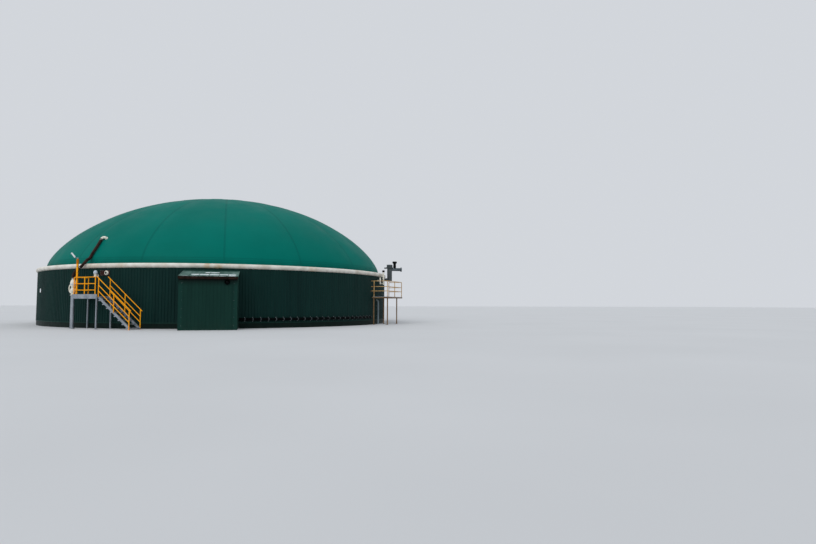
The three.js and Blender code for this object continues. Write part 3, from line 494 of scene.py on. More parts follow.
class Shape:
    """Closed solids that become one mesh. Points are given in its frame, which is turned to an azimuth."""

    def __init__(self, finish, azimuth=0.0):
        self.frame = turned_by(azimuth)
        self.points, self.faces, self.indices = [], [], []
        self.names, self.index = [finish], 0

    def use(self, finish):
        """What is added from here on has this finish."""
        if finish not in self.names:
            self.names.append(finish)
        self.index = self.names.index(finish)

    def add(self, points, faces):
        start = len(self.points)
        self.points.extend(self.frame @ Vector(point) for point in points)
        self.faces.extend([start + corner for corner in face] for face in faces)
        self.indices.extend([self.index] * len(faces))

    def loft(self, rings, closed=False):
        """Skins rings of equally many points, and caps the ends unless the rings close on themselves."""
        count = len(rings[0])
        faces = hoops(0, len(rings), count, closed)
        if not closed:
            last = (len(rings) - 1) * count
            faces += [list(range(count)), list(range(last, last + count))]
        self.add([point for ring in rings for point in ring], faces)

    def block(self, low, high):
        """A box between two opposite corners."""
        (x0, y0, z0), (x1, y1, z1) = low, high
        self.prism(rectangle(x0, y0, x1, y1), z0, z1)

    def pad(self, x, y, half, low, high):
        """A square plate that lies flat round a middle."""
        self.block((x - half, y - half, low), (x + half, y + half, high))

    def prism(self, outline, low, high):
        """An upright solid over an outline; its ends are heights, or functions of Y."""
        def at(level, y):
            return level(y) if callable(level) else level
        self.loft([[(x, y, at(level, y)) for x, y in outline] for level in (low, high)])

    def extrude(self, outline, origin, across, along, through):
        """An outline of [a, b] in the plane of two vectors, made thick by a third."""
        ring = [Vector(origin) + a * Vector(across) + b * Vector(along) for a, b in outline]
        self.loft([ring, [point + Vector(through) for point in ring]])

    def tube(self, route, radius, sides=20):
        """A round tube through points; the radius may be one for each point."""
        route = [Vector(point) for point in route]
        radii = radius if isinstance(radius, list) else [radius] * len(route)
        pairs = zip([route[0], *route], [*route[1:], route[-1]])
        heads = [(after - before).normalized() for before, after in pairs]
        across = heads[0].orthogonal().normalized()
        rings = []
        for point, head, reach in zip(route, heads, radii):
            across = (across - head * across.dot(head)).normalized()
            rings.append(circle(point, across, head.cross(across), reach, sides))
        self.loft(rings)

    def turned(self, profile, base, axis=UP, sides=28):
        """A body of revolution: [radius, height] along an axis from a base, from end to end."""
        base, head = Vector(base), Vector(axis).normalized()
        across = head.orthogonal().normalized()
        self.loft([circle(base + head * height, across, head.cross(across), radius, sides)
                   for radius, height in profile])

    def disc(self, radius, low, high, base, axis=UP, sides=28):
        self.turned([(radius, low), (radius, high)], base, axis, sides)

    def bead(self, inner, outer, half, lip, centre, axis=UP, sides=28):
        """A ring with bevelled edges round a pipe."""
        profile = [(inner, -half), (outer, lip - half), (outer, half - lip), (inner, half)]
        self.turned(profile, centre, axis, sides)

    def bolt(self, at, axis, size=0.016):
        """A hexagon head on its washer, on a face that looks along the axis."""
        kept = self.index
        self.use("steel")
        self.disc(size * 1.25, 0.0, size * 0.2, at, axis, 14)
        self.turned([(size * 0.9, size * 0.2), (size * 0.9, size * 0.85), (size * 0.7, size)], at, axis, 6)
        self.index = kept

    def bolt_circle(self, radius, count, size, centre, axis=UP, first=0.0):
        """Bolts round a flange that looks along an axis, with the first one turned by an angle in degrees."""
        head = Vector(axis)
        across = turned_by(first, head) @ head.orthogonal().normalized()
        for place in circle(Vector(centre), across, head.cross(across), radius, count):
            self.bolt(place, axis, size)

    def corner_bolts(self, x, y, z, reach_x, reach_y, size):
        """Four upright bolts round a middle."""
        for side, other in ((-1, -1), (-1, 1), (1, -1), (1, 1)):
            self.bolt((x + side * reach_x, y + other * reach_y, z), UP, size)

    def around(self, sections, azimuths, closed=False):
        """A solid round the tank, with one closed section of [radius, height] for each azimuth."""
        self.loft([[polar(radius, azimuth, height) for radius, height in section]
                   for section, azimuth in zip(sections, azimuths)], closed)

    def ring(self, section, azimuths, closed=False):
        """The same with one section for all azimuths."""
        self.around([section] * len(azimuths), azimuths, closed)

    def piece(self, name, slot, *replaced, soft=35.0):
        """Makes the mesh, which stands for the nodes named; folds flatter than an angle are smooth."""
        mesh = bpy.data.meshes.new(name)
        mesh.from_pydata(self.points, [], self.faces)
        for finish in self.names:
            mesh.materials.append(FINISHES[finish])
        mesh.polygons.foreach_set("material_index", self.indices)
        work = bmesh.new()
        work.from_mesh(mesh)
        bmesh.ops.recalc_face_normals(work, faces=work.faces)
        work.to_mesh(mesh)
        work.free()
        mesh.shade_smooth()
        mesh.set_sharp_from_angle(angle=math.radians(soft))
        made = bpy.data.objects.new(name, mesh)
        bpy.context.scene.collection.objects.link(made)
        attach(made, "root")
        if replaced:
            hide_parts(*replaced)


# Tank

def add_cladding():
    """The ribbed sheet in quarters, with the plinth at its foot and the drip over that."""
    ribs = [(rib, share, depth) for rib in range(SHEETS * RIBS_PER_SHEET // 4) for share, depth in RIB_SHAPE]
    for quarter, start in QUARTERS:
        azimuths = [start + (rib + share) * RIB_PITCH for rib, share, _ in ribs]
        reaches = [SHEET_R - RIB_DEPTH * depth - SHEET_LAP * (rib % RIBS_PER_SHEET > 0)
                   for rib, _, depth in ribs]
        azimuths.append(start + 90)
        reaches.append(SHEET_R - RIB_DEPTH - SHEET_LAP)
        shape = Shape("cladding")
        shape.around([rectangle(TANK_OUTER_R, PLINTH_TOP, reach, WALL_TOP) for reach in reaches], azimuths)
        even = spread(start, start + 90, 91)
        shape.use("plinth")
        shape.ring(rectangle(TANK_OUTER_R, 0.0, PLINTH_R, PLINTH_TOP), even)
        shape.use("trim")
        drip, behind = PLINTH_TOP - 0.03, PLINTH_R - 0.02
        shape.ring([(SHEET_R, PLINTH_TOP + 0.012), (SHEET_R + 0.006, drip), (SHEET_R, drip),
                    (behind, PLINTH_TOP - 0.002), (behind, PLINTH_TOP + 0.012)], even)
        shape.piece(f"cladding_sheet_{quarter}", "cladding", f"cladding_{quarter}", soft=20.0)


def add_cladding_screws():
    shape = Shape("trim")
    reach = SHEET_R - RIB_DEPTH - SHEET_LAP
    for rib in range(0, SHEETS * RIBS_PER_SHEET, 3):
        azimuth = (rib + RIB_SHAPE[1][0] / 2) * RIB_PITCH - 45
        outward = polar(1.0, azimuth)
        if abs(outward.x * reach) < HOUSE_HALF and outward.y < 0:
            continue
        for z in SCREW_ROWS:
            shape.turned([(0.010, 0.0), (0.010, 0.002), (0.006, 0.002), (0.006, 0.008)],
                         polar(reach, azimuth, z), outward, 6)
    shape.piece("cladding_screws", "cladding")


def band_section(azimuth):
    """The band's cover at an azimuth: its rounded edge is slack between its joints, and laps there."""
    middle, half = (WALL_TOP + BAND_TOP) / 2, (BAND_TOP - WALL_TOP) / 2
    along = (azimuth * BAND_PIECES / 360) % 1.0
    slack = 0.010 * (noise.noise(polar(1.6, azimuth) * 4.0) - 0.3) * math.sin(math.pi * along)
    lap = 0.004 if along < 0.035 else 0.0
    reach, rise = BAND_REACH - 0.006 + slack + lap, half - 0.003 + lap / 2
    edge = arc(BAND_OUTER_R - BAND_REACH, middle, reach, rise, 90, -90, 13)
    return [(BAND_INNER_R, BAND_TOP - 0.002), *edge, (BAND_INNER_R, WALL_TOP)]


def add_band():
    for quarter, start in QUARTERS:
        azimuths = spread(start, start + 90, BAND_COLUMNS + 1)
        shape = Shape("band")
        shape.around([band_section(azimuth) for azimuth in azimuths], azimuths)
        shape.piece(f"band_cover_{quarter}", "cream_band", f"clamp_band_{quarter}", soft=50.0)


def add_clamp_rail():
    """The flat that clamps the membrane's hem on the band, with its bolts."""
    shape = Shape("steel")
    low, high = BAND_TOP + 0.004, BAND_TOP + 0.013
    section = rectangle(RAIL_R - RAIL_HALF, low, RAIL_R + RAIL_HALF, high)
    shape.ring(section, spread(0, 359, 360), closed=True)
    for index in range(RAIL_BOLTS):
        shape.bolt(polar(RAIL_R, index * 360 / RAIL_BOLTS, high), UP, 0.014)
    shape.piece("clamp_rail", "galvanised")


# Dome

def dome_rise(radius):
    """The dome's height above its clamped edge at a radius."""
    sphere = (DOME_R ** 2 + DOME_RISE ** 2) / (2 * DOME_RISE)
    cap = math.sqrt(sphere ** 2 - radius ** 2) - (sphere - DOME_RISE)
    ellipse = DOME_RISE * math.sqrt(max(0.0, 1 - (radius / DOME_R) ** 2))
    return DOME_ELLIPSE_SHARE * ellipse + (1 - DOME_ELLIPSE_SHARE) * cap


def dome_at(radius, offset=0.0):
    """Distance from the axis and height of a point off the dome's outside."""
    step = 0.001
    radius = min(radius, DOME_R - step)
    slope = (dome_rise(radius + step / 2) - dome_rise(max(0.0, radius - step / 2))) / step
    length = math.hypot(slope, 1)
    return radius - slope / length * offset, BAND_TOP + dome_rise(radius) + offset / length


def radius_at(height):
    """The dome's radius at a height above the band."""
    low, high = 0.0, DOME_R
    for _ in range(40):
        middle = (low + high) / 2
        if dome_rise(middle) > height:
            low = middle
        else:
            high = middle
    return low


def dome_radius(row):
    """The radius of one of the membrane's rows, from the clamped edge upwards."""
    return DOME_R * math.cos(math.pi / 2 * row / DOME_ROWS)


def crease(radius, azimuth):
    """How deep the membrane lies in the frame's dome at an azimuth, drawn in by its nearest seam."""
    gore = (azimuth - GORE_FROM) / (360 / GORES)
    nearest = round(gore)
    away = abs(gore - nearest) * math.radians(360 / GORES) * radius
    depth = CREASE_STRONG if nearest % 2 == 0 else CREASE_WEAK
    fade = min(1.0, radius / 5.0) * min(1.0, (DOME_R - radius) / 0.35 + 0.15)
    return DOME_SINK + depth * fade * math.exp(-(away / CREASE_WIDTH) ** 2)


def add_dome():
    """The outer membrane: gores drawn in at their seams, the hem on the band, and a skin's thickness."""
    radii = [dome_radius(row) for row in range(DOME_ROWS)]
    hem = RAIL_R + 0.06
    edge = [(hem, BAND_TOP - 0.001), (hem, BAND_TOP + 0.004), (DOME_R + 0.03, BAND_TOP + 0.005)]
    rows = [[point] * DOME_COLUMNS for point in edge]
    for radius in radii:
        lift = 0.006 * (radius / DOME_R) ** 40
        drawn = [dome_at(radius, -crease(radius, azimuth)) for azimuth in DOME_AZIMUTHS]
        rows.append([(out, height + lift) for out, height in drawn])
    points = [polar(out, azimuth, height)
              for row in rows for azimuth, (out, height) in zip(DOME_AZIMUTHS, row)]
    crown = len(points)
    points.append(Vector((0, 0, DOME_TOP - DOME_SINK)))
    faces = hoops(0, len(rows), DOME_COLUMNS) + fan(crown - DOME_COLUMNS, DOME_COLUMNS, crown)

    inside, few = len(points), DOME_COLUMNS // 4
    rows = [dome_at(radius, -DOME_SKIN) for radius in radii[::4]]
    rows[0] = (rows[0][0], BAND_TOP - 0.001)
    points += [polar(out, azimuth, height) for out, height in rows for azimuth in DOME_AZIMUTHS[::4]]
    under = len(points)
    points.append(Vector((0, 0, DOME_TOP - DOME_SKIN)))
    faces += hoops(inside, len(rows), few) + fan(under - few, few, under)
    for column in range(few):
        outer = [(4 * column + step) % DOME_COLUMNS for step in range(5)]
        faces.append([inside + column, inside + (column + 1) % few, *outer[::-1]])
    shape = Shape("membrane")
    shape.add(points, faces)
    shape.piece("membrane", "membrane", "dome_membrane", soft=60.0)


def add_dome_seams():
    """Welded laps along the gores and round the dome's foot, and the patch at the crown."""
    shape = Shape("weld")
    for gore in range(GORES):
        azimuth = GORE_FROM + gore * 360 / GORES
        height = SEAM_HEIGHT if gore % 2 == 0 else SEAM_HEIGHT / 4
        shape.use("weld" if gore % 2 == 0 else "membrane")
        rings = []
        for radius in map(dome_radius, range(2, DOME_ROWS)):
            if radius < CROWN_R * 0.8:
                break
            aside = polar(min(SEAM_WIDTH / 2, radius * math.pi / GORES * 0.8), azimuth + 90)
            depth = crease(radius, azimuth)
            low, high = [polar(out, azimuth, z) for out, z in (dome_at(radius, -depth - SEAM_ROOT),
                                                               dome_at(radius, height - depth))]
            rings.append([high - aside, low - aside, low + aside, high + aside])
        shape.loft(rings)
    shape.use("weld")
    for height in EDGE_WELDS:
        radius, below, above = radius_at(height), radius_at(height - 0.02), radius_at(height + 0.02)
        depths = [crease(radius, azimuth) for azimuth in DOME_AZIMUTHS]
        shape.around([[dome_at(above, SEAM_HEIGHT - depth), dome_at(below, SEAM_HEIGHT - depth),
                       dome_at(below, -SEAM_ROOT - depth), dome_at(above, -SEAM_ROOT - depth)]
                      for depth in depths], DOME_AZIMUTHS, closed=True)
    rows = spread(CROWN_R, 0.02, 8)
    top = [dome_at(radius, -0.0005 if radius < CROWN_R else -DOME_SINK) for radius in rows]
    shape.turned([(CROWN_R, dome_at(CROWN_R)[1] - 0.02), *top], (0, 0, 0), sides=64)
    shape.piece("membrane_welds", "membrane", soft=60.0)


# Pipe round the foot

def foot_pipe_section(radius):
    return arc(FOOT_PIPE_R, FOOT_PIPE_Z, radius, radius, 0, 342, 20)


def add_foot_pipe():
    """The pipe, with a strap and a foot on the wall at each clamp."""
    shape = Shape("black_pipe")
    shape.ring(foot_pipe_section(FOOT_PIPE_RADIUS), spread(FOOT_PIPE_FROM, FOOT_PIPE_TO, 97))
    shape.use("strap")
    face, behind = SHEET_R + 0.014, SHEET_R - 0.02
    low, high = FOOT_PIPE_Z - CLAMP_FOOT, FOOT_PIPE_Z + CLAMP_FOOT
    half = math.degrees(CLAMP_HALF / FOOT_PIPE_R)
    azimuth = CLAMP_FROM
    while azimuth < FOOT_PIPE_TO:
        ends = (azimuth - half, azimuth + half)
        shape.ring(foot_pipe_section(FOOT_PIPE_RADIUS + 0.005), ends)
        shape.ring(rectangle(behind, low, face, high), ends)
        for z in (high - CLAMP_HALF, low + CLAMP_HALF):
            shape.bolt(polar(face, azimuth, z), polar(1.0, azimuth), 0.010)
        azimuth += CLAMP_STEP
    shape.piece("foot_pipe", "black_pipe", "base_pipe")


# Housing

def roof_top(y, over=0.0):
    """The height of the roof's surface at a Y, or a height over it."""
    share = (y - HOUSE_EAVE_Y) / (HOUSE_RIDGE_Y - HOUSE_EAVE_Y)
    return HOUSE_EAVE_Z + share * (HOUSE_RIDGE_Z - HOUSE_EAVE_Z) + over


def over_roof(height):
    """A function of Y that lies over the roof's surface by a height, or under it."""
    return lambda y: roof_top(y, height)


def ribbed_line(start, end):
    """Distance along a wall and depth below its crests, at each fold of a ribbed sheet."""
    count = round(abs(end - start) / HOUSE_RIB_PITCH)
    pitch = (end - start) / count
    folds = ((0.42, 0.0), (0.52, 1.0), (0.90, 1.0), (1.0, 0.0))
    return [(start, 0.0), *[(start + (rib + share) * pitch, HOUSE_RIB_DEPTH * depth)
                            for rib in range(count) for share, depth in folds]]


def add_housing():
    inside = HOUSE_FRONT_Y + HOUSE_WALL
    face = HOUSE_FRONT_Y - TRIM_OUT
    eave = roof_top(HOUSE_FRONT_Y, -ROOF_THICKNESS)
    front = Shape("house_front")
    sheet = [(x, HOUSE_FRONT_Y + depth) for x, depth in ribbed_line(-HOUSE_HALF, HOUSE_HALF)]
    front.prism([*sheet, (HOUSE_HALF, inside), (-HOUSE_HALF, inside)], 0.0, eave)
    front.use("front_trim")
    for side in (-1, 1):
        x = side * HOUSE_HALF
        leg = x - side * CORNER_TRIM
        back = HOUSE_FRONT_Y + TRIM_IN
        front.prism([(x, face), (leg, face), (leg, back), (x - side * 0.02, back)], 0.0, eave - 0.002)
        for z in spread(0.25, 2.55, 6):
            front.bolt((leg + side * 0.03, face, z), OUTWARD, 0.007)
    front.block((-HOUSE_HALF + CORNER_TRIM, face - 0.001, 0.0),
                (HOUSE_HALF - CORNER_TRIM, HOUSE_FRONT_Y + TRIM_IN, 0.09))
    front.piece("housing_front", "cladding", "house_front", soft=20.0)

    tank = wall_y(HOUSE_HALF, SHEET_R - 0.004)
    for side, name in ((-1, "left"), (1, "right")):
        x = side * HOUSE_HALF
        sheet = [(x - side * depth, y) for y, depth in ribbed_line(inside, tank)]
        back = x - side * HOUSE_WALL
        shape = Shape("housing")
        shape.prism([*sheet, (back, tank), (back, inside)], 0.0, over_roof(-ROOF_THICKNESS))
        shape.use("trim")
        shape.block((x, face, 0.0), (x + side * TRIM_OUT, HOUSE_FRONT_Y + 0.12, eave - 0.002))
        strip = rectangle(x, tank - 0.11, x + side * 0.004, tank)
        shape.prism(strip, 0.0, over_roof(-ROOF_THICKNESS - 0.002))
        shape.piece(f"housing_{name}", "cladding", f"house_{name}", soft=20.0)


def add_housing_roof():
    """The roof: a sheet with standing seams, a brown fascia, a soffit and a flashing at the wall."""
    half = HOUSE_HALF + ROOF_OVERHANG
    front = HOUSE_EAVE_Y + 0.012

    def wall_line(radius, start, end):
        return [(x, wall_y(x, radius)) for x in spread(start, end, 15)]

    shape = Shape("roof")
    back = wall_line(SHEET_R - 0.001, half, -half)
    shape.prism([(-half, front), (half, front), *back], over_roof(-ROOF_THICKNESS), over_roof(0.0))
    for x in spread(-half + 0.014, half - 0.014, ROOF_SEAMS):
        seam = rectangle(x - 0.011, front - 0.002, x + 0.011, wall_y(x) - 0.01)
        shape.prism(seam, over_roof(-0.01), over_roof(0.022))
    shape.use("trim")
    shape.prism([*wall_line(SHEET_R + 0.02, -half, half), *back], over_roof(0.001), over_roof(0.075))
    shape.use("fascia")
    top, low = HOUSE_EAVE_Z - 0.012, HOUSE_EAVE_Z - FASCIA
    shape.block((-half, HOUSE_EAVE_Y, top), (half, front, HOUSE_EAVE_Z + FASCIA_LIP))
    shape.block((-half, HOUSE_EAVE_Y + 0.004, low), (half, HOUSE_EAVE_Y + 0.04, top))
    shape.block((-half, HOUSE_EAVE_Y + 0.04, low), (half, HOUSE_FRONT_Y, low + 0.012))
    shape.piece("housing_roof", "roof_sheet", "house_roof", soft=25.0)


# Frost on the roof: from and to along X, Y of its middle, half its width, how thick
FROST = ((-1.0, 1.5, -13.88, 0.15, 0.8), (-0.45, 0.62, -13.90, 0.18, 1.0), (-0.36, 0.62, -13.14, 0.11, 0.9),
         (1.12, 1.3, -13.2, 0.16, 0.9), (0.9, 1.55, -14.25, 0.10, 0.7), (-1.5, 1.55, -14.5, 0.05, 0.5))


def frost_top(x, y):
    """The frost's surface, which lies under the roof's where there is none."""
    best = 0.0
    for start, end, middle, half, strength in FROST:
        along = min(1.0, max(0.0, (x - start) / 0.18)) * min(1.0, max(0.0, (end - x) / 0.18))
        best = max(best, strength * along * max(0.0, 1 - ((y - middle) / half) ** 2))
    ragged = noise.fractal(Vector((x * 3.2, y * 7.0, 0.4)), 0.8, 2.0, 5)
    return roof_top(y, max(-0.012, min(0.010, 0.035 * (best + 0.30 * ragged - 0.32))))


def add_frost():
    """Thin frost that rises through the roof's surface in patches."""
    xs = spread(-HOUSE_HALF, HOUSE_HALF, 150)
    shape = Shape("frost")
    shape.loft([[*[(x, y, frost_top(x, y)) for x in xs],
                 *[(x, y, roof_top(y, -0.03)) for x in (xs[-1], xs[0])]]
                for y in spread(HOUSE_EAVE_Y + 0.03, -12.62, 84)])
    shape.piece("roof_frost", "roof_sheet", soft=70.0)


def add_house_lamp():
    """A black bulkhead lamp under the eave: a round body, a dark glass, a hood and a guard."""
    low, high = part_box("house_lamp")
    x, z = (low.x + high.x) / 2, (low.z + high.z) / 2
    base = Vector((x, HOUSE_FRONT_Y, z))
    shape = Shape("black_pipe")
    shape.turned([(0.128, 0.0), (0.131, 0.034), (0.122, 0.06), (0.110, 0.066)], base, OUTWARD, 32)
    shape.use("lamp_glass")
    shape.turned([(0.102, 0.055), (0.094, 0.092), (0.066, 0.122), (0.022, 0.132)], base, OUTWARD, 32)
    shape.use("black_pipe")
    hood = arc(0, 0, 0.145, 0.148, -20, 200, 23)
    shape.extrude([*hood, *[(a * 0.94, b * 0.94) for a, b in hood[::-1]]], base, ALONG, UP, (0, -0.16, 0))
    bow = [(0.124, 0.055), (0.110, 0.106), (0.066, 0.142)]
    bow += [(0.0, 0.15), *[(-a, out) for a, out in bow[::-1]]]
    for ahead, up in arc(0, 0, 1, 1, 45, 135, 3):
        across = Vector((ahead, 0, up))
        shape.tube([base + a * across + out * Vector(OUTWARD) for a, out in bow], 0.006, 8)
    shape.block((x - 0.02, HOUSE_FRONT_Y - 0.04, low.z), (x + 0.02, HOUSE_FRONT_Y, z - 0.10))
    shape.piece("bulkhead_lamp", "black_plastic", "house_lamp")


# Platforms

def grating(shape, low, high, pitch=0.034, rods=0.1):
    """A welded grating: bearing bars along Y, rods across their tops, and an edge bar all round."""
    (x0, y0, z0), (x1, y1, z1) = low, high
    near, far = y0 + BAR_EDGE, y1 - BAR_EDGE
    left, right = x0 + BAR_EDGE, x1 - BAR_EDGE
    shape.block(low, (x1, near, z1))
    shape.block((x0, far, z0), high)
    shape.block((x0, near, z0), (left, far, z1))
    shape.block((right, near, z0), (x1, far, z1))
    for x in spread(x0, x1, max(3, round((x1 - x0) / pitch) + 1))[1:-1]:
        shape.block((x - BAR_HALF, near, z0 + 0.001), (x + BAR_HALF, far, z1))
    for y in spread(y0, y1, max(3, round((y1 - y0) / rods) + 1))[1:-1]:
        shape.block((left, y - ROD_HALF, z1 - ROD_DEPTH), (right, y + ROD_HALF, z1 - 0.001))


def channel(shape, start, end, open_to, depth, width):
    """A rolled channel between two points: its web on their line, its flanges towards a vector."""
    web, flange, fillet = 0.007, 0.009, 0.013
    outline = [(0, 0), (width, 0), (width, flange), (web, fillet), (web, depth - fillet),
               (width, depth - flange), (width, depth), (0, depth)]
    shape.extrude(outline, start, open_to, UP, Vector(end) - Vector(start))


def square_tube(shape, x, y, width, low, high):
    """An upright square tube with rounded corners."""
    bend = 0.009
    reach = width / 2 - bend
    outline = [point for right, far, start in ((1, 1, 0), (-1, 1, 90), (-1, -1, 180), (1, -1, 270))
               for point in arc(x + right * reach, y + far * reach, bend, bend, start, start + 90, 4)]
    shape.prism(outline, low, high)


def add_deck(way):
    """The deck: two panels of grating."""
    shape = Shape("galvanised", way.azimuth)
    middle = (way.start + way.end) / 2
    for low, high in ((way.start, middle - 0.004), (middle + 0.004, way.end)):
        grating(shape, (low, -way.outer, way.z - DECK_DEPTH), (high, -way.inner, way.z))
    shape.piece(f"{way.side}_grating", "galvanised", f"{way.node}_deck")


def add_frame(way, slot, finish):
    """Channels under a deck, legs on plates, brackets to the wall and, where there are any, toe boards."""
    shape = Shape(finish, way.azimuth)
    top = way.z - DECK_DEPTH - SEAT
    low = top - way.beam
    inner, outer = -way.inner, -way.outer
    flange = min(BEAM_WIDTH, way.beam * 0.8)

    def cross_beam(x, inward):
        channel(shape, (x, outer + 0.01, low), (x, inner - 0.01, low), (inward, 0, 0), way.beam, flange)

    for x, inward in ((way.start, 1), (way.end, -1)):
        cross_beam(x, inward)
    for y, inward in ((outer, 1), (inner, -1)):
        channel(shape, (way.start, y, low), (way.end, y, low), (0, inward, 0), way.beam, flange)
    for x in way.legs:
        if min(x - way.start, way.end - x) > 2 * LEG:
            cross_beam(x - 0.03, 1)
        for y in (outer + LEG / 2, inner - LEG / 2):
            square_tube(shape, x, y, LEG, 0.012, low + 0.01)
            foot = min(max(y, outer + 0.08), inner - 0.08)
            shape.pad(x, foot, 0.08, 0.0, 0.012)
            shape.corner_bolts(x, foot, 0.012, 0.0576, 0.0576, 0.014)
    face = -SHEET_R - SEAT
    margin = way.beam / 6
    for x in way.ties:
        left = x - LEG / 2
        shape.block((left, inner - 0.005, low + margin), (left + 0.008, face, top - margin))
        shape.block((left, face - 0.008, low + margin), (x + LEG / 2, face, top - margin))
        shape.bolt((x + 0.012, face - 0.008, (low + top) / 2), OUTWARD, 0.012)
    if way.toe:
        edge = outer + 0.005
        shape.block((way.start, outer, way.z), (way.end, edge, way.z + way.toe))
        shape.block((way.start, edge, way.z), (way.start + 0.005, inner, way.z + way.toe))
    shape.piece(f"{way.side}_frame", slot, f"{way.node}_frame")


def add_guard_rail(way, slot, finish, corners, posts):
    """Rails through corners, and posts with domed caps on plates."""
    shape = Shape(finish, way.azimuth)
    floor, top = way.z + SEAT, way.z + way.rails[-1] - RAIL_RADIUS
    cap = [(POST_RADIUS + 0.002, 0.0), (POST_RADIUS, 0.006), (POST_RADIUS * 0.6, 0.011)]
    for x, y in posts:
        shape.tube([(x, y, floor), (x, y, top)], POST_RADIUS)
        shape.turned(cap, (x, y, top))
        shape.pad(x, y, 0.045, floor, floor + 0.008)
        shape.corner_bolts(x, y, floor + 0.008, 0.032, 0.03, 0.007)
    for height in way.rails:
        bend = 0.07 if height == way.rails[-1] else 0.03
        shape.tube(rounded([(x, y, way.z + height) for x, y in corners], bend), RAIL_RADIUS)
    shape.piece(f"{way.side}_rail", slot, f"{way.node}_rail")


def add_left_platform():
    add_deck(LEFT)
    add_frame(LEFT, "galvanised", "galvanised")
    left, right = LEFT.start + 0.06, LEFT.end - 0.18
    corners = [(left, -LEFT.inner - 0.06), (left, -RAIL_OUTER), (right, -RAIL_OUTER)]
    posts = [*corners, ((left + right) / 2, -RAIL_OUTER)]
    add_guard_rail(LEFT, "yellow_paint", "yellow", corners, posts)


def add_right_platform():
    add_deck(RIGHT)
    # the frame under the deck takes the darker copy of the sand paint, as painted shade
    add_frame(RIGHT, "sand_paint", "shaded_sand")
    left, right = RIGHT.start + 0.055, RIGHT.end - 0.053
    outer, inner = -RIGHT.outer + 0.04, -RIGHT.inner - 0.048
    corners = [(left, -SHEET_R - SEAT), (left, outer), (right, outer), (right, inner)]
    posts = [(left, inner), *corners[1:], ((left + right) / 2, outer)]
    add_guard_rail(RIGHT, "sand_paint", "sand", corners, posts)


# Stair

def nose_line(x, over=0.0):
    """A height over the line of the treads' front edges, at an X along the platform."""
    return LEFT.z - (x - LEFT.end) * STAIR_SLOPE + over


def stringer_top(x):
    return nose_line(x, 0.05)


def add_stringer(shape, y, inward):
    """A channel with its flanges towards the treads, and a bolted foot plate."""
    top = LEFT.end + SEAT
    nose = STAIR_END + 0.06
    drop = STRINGER_DEPTH * math.hypot(1, STAIR_SLOPE)
    level = LEFT.z - 0.005
    low_corner = LEFT.end + (stringer_top(LEFT.end) - drop) / STAIR_SLOPE
    high_corner = LEFT.end + (stringer_top(LEFT.end) - level) / STAIR_SLOPE
    outline = [(top, level), (top, stringer_top(top) - drop), (low_corner, 0.0), (nose, 0.0),
               (nose, stringer_top(nose)), (high_corner, level)]
    shape.extrude(outline, (0, y - STRINGER_THICKNESS / 2, 0), ALONG, UP, (0, STRINGER_THICKNESS, 0))
    start = y + inward * STRINGER_THICKNESS / 2
    for down, thick, end in ((0.0, -0.012, nose), (drop - 0.012, 0.012, low_corner)):
        line = [(x, max(stringer_top(x) - down, 0.0)) for x in (high_corner, end)]
        strip = [*line, *[(x, z + thick) for x, z in line[::-1]]]
        shape.extrude(strip, (0, start, 0), ALONG, UP, (0, inward * STRINGER_FLANGE, 0))
    shape.block((nose - 0.16, start, 0.0), (nose, start + inward * 0.08, 0.010))
    shape.bolt((nose - 0.08, start + inward * 0.05, 0.010), UP, 0.014)


def add_stair():
    """Two stringers with open grating treads bolted between them."""
    inner = -RAIL_INNER - RAIL_TO_STRINGER
    outer = -RAIL_OUTER + RAIL_TO_STRINGER
    shape = Shape("galvanised", LEFT.azimuth)
    add_stringer(shape, outer, 1)
    add_stringer(shape, inner, -1)
    near, far = outer + STRINGER_THICKNESS / 2, inner - STRINGER_THICKNESS / 2
    for step in range(1, STAIR_TREADS + 1):
        x = LEFT.end + step * STAIR_GOING
        z = LEFT.z - step * STAIR_RISE
        back = x - TREAD_DEPTH
        grating(shape, (back, near + 0.004, z - TREAD_THICKNESS), (x - 0.002, far - 0.004, z), rods=0.045)
        shape.block((x - 0.034, near + 0.004, z - 0.034), (x, far - 0.004, z + 0.001))
        for y, side in ((near, 1), (far, -1)):
            shape.block((back, y, z - 0.06), (x, y + side * 0.006, z))
            for at in (x - 0.10, x - 0.03):
                shape.bolt((at, y - side * STRINGER_THICKNESS, z - 0.022), (0, -side, 0), 0.009)
    shape.piece("stair_steps", "galvanised", "stair_flight")


def add_stair_rails():
    first, last = LEFT.end + 0.06, STAIR_END + 0.024
    for name, distance, away in (("inner", RAIL_INNER, 1), ("outer", RAIL_OUTER, -1)):
        y = -distance
        shape = Shape("yellow", LEFT.azimuth)
        for x in (first, (first + last) / 2, last):
            low = 0.0 if x == last else stringer_top(x) - STRINGER_DEPTH / 2
            shape.tube([(x, y, low), (x, y, nose_line(x, HANDRAIL_HEIGHT - 0.005))], POST_RADIUS)
            if x != last:
                for z in (low + 0.02, low + 0.07):
                    shape.bolt((x, y + away * POST_RADIUS, z), (0, away, 0), 0.010)
        shape.pad(last, y, 0.05, 0.0, 0.008)
        for drop in STAIR_RAIL_DROPS:
            start, end = (LEFT.end - 0.1, last + 0.11) if drop == 0.0 else (first, last)
            shape.tube([(x, y, nose_line(x, HANDRAIL_HEIGHT - drop)) for x in (start, end)], RAIL_RADIUS)
            if drop == 0.0:
                for x, across in ((start, -1), (end, 1)):
                    shape.turned([(RAIL_RADIUS, 0.0), (RAIL_RADIUS * 0.8, 0.008), (RAIL_RADIUS * 0.3, 0.013)],
                                 (x, y, nose_line(x, HANDRAIL_HEIGHT)), (across, 0, -across * STAIR_SLOPE))
        shape.piece(f"stair_handrail_{name}", "yellow_paint", f"stair_rail_{name}")


# Lamp, valve, hose

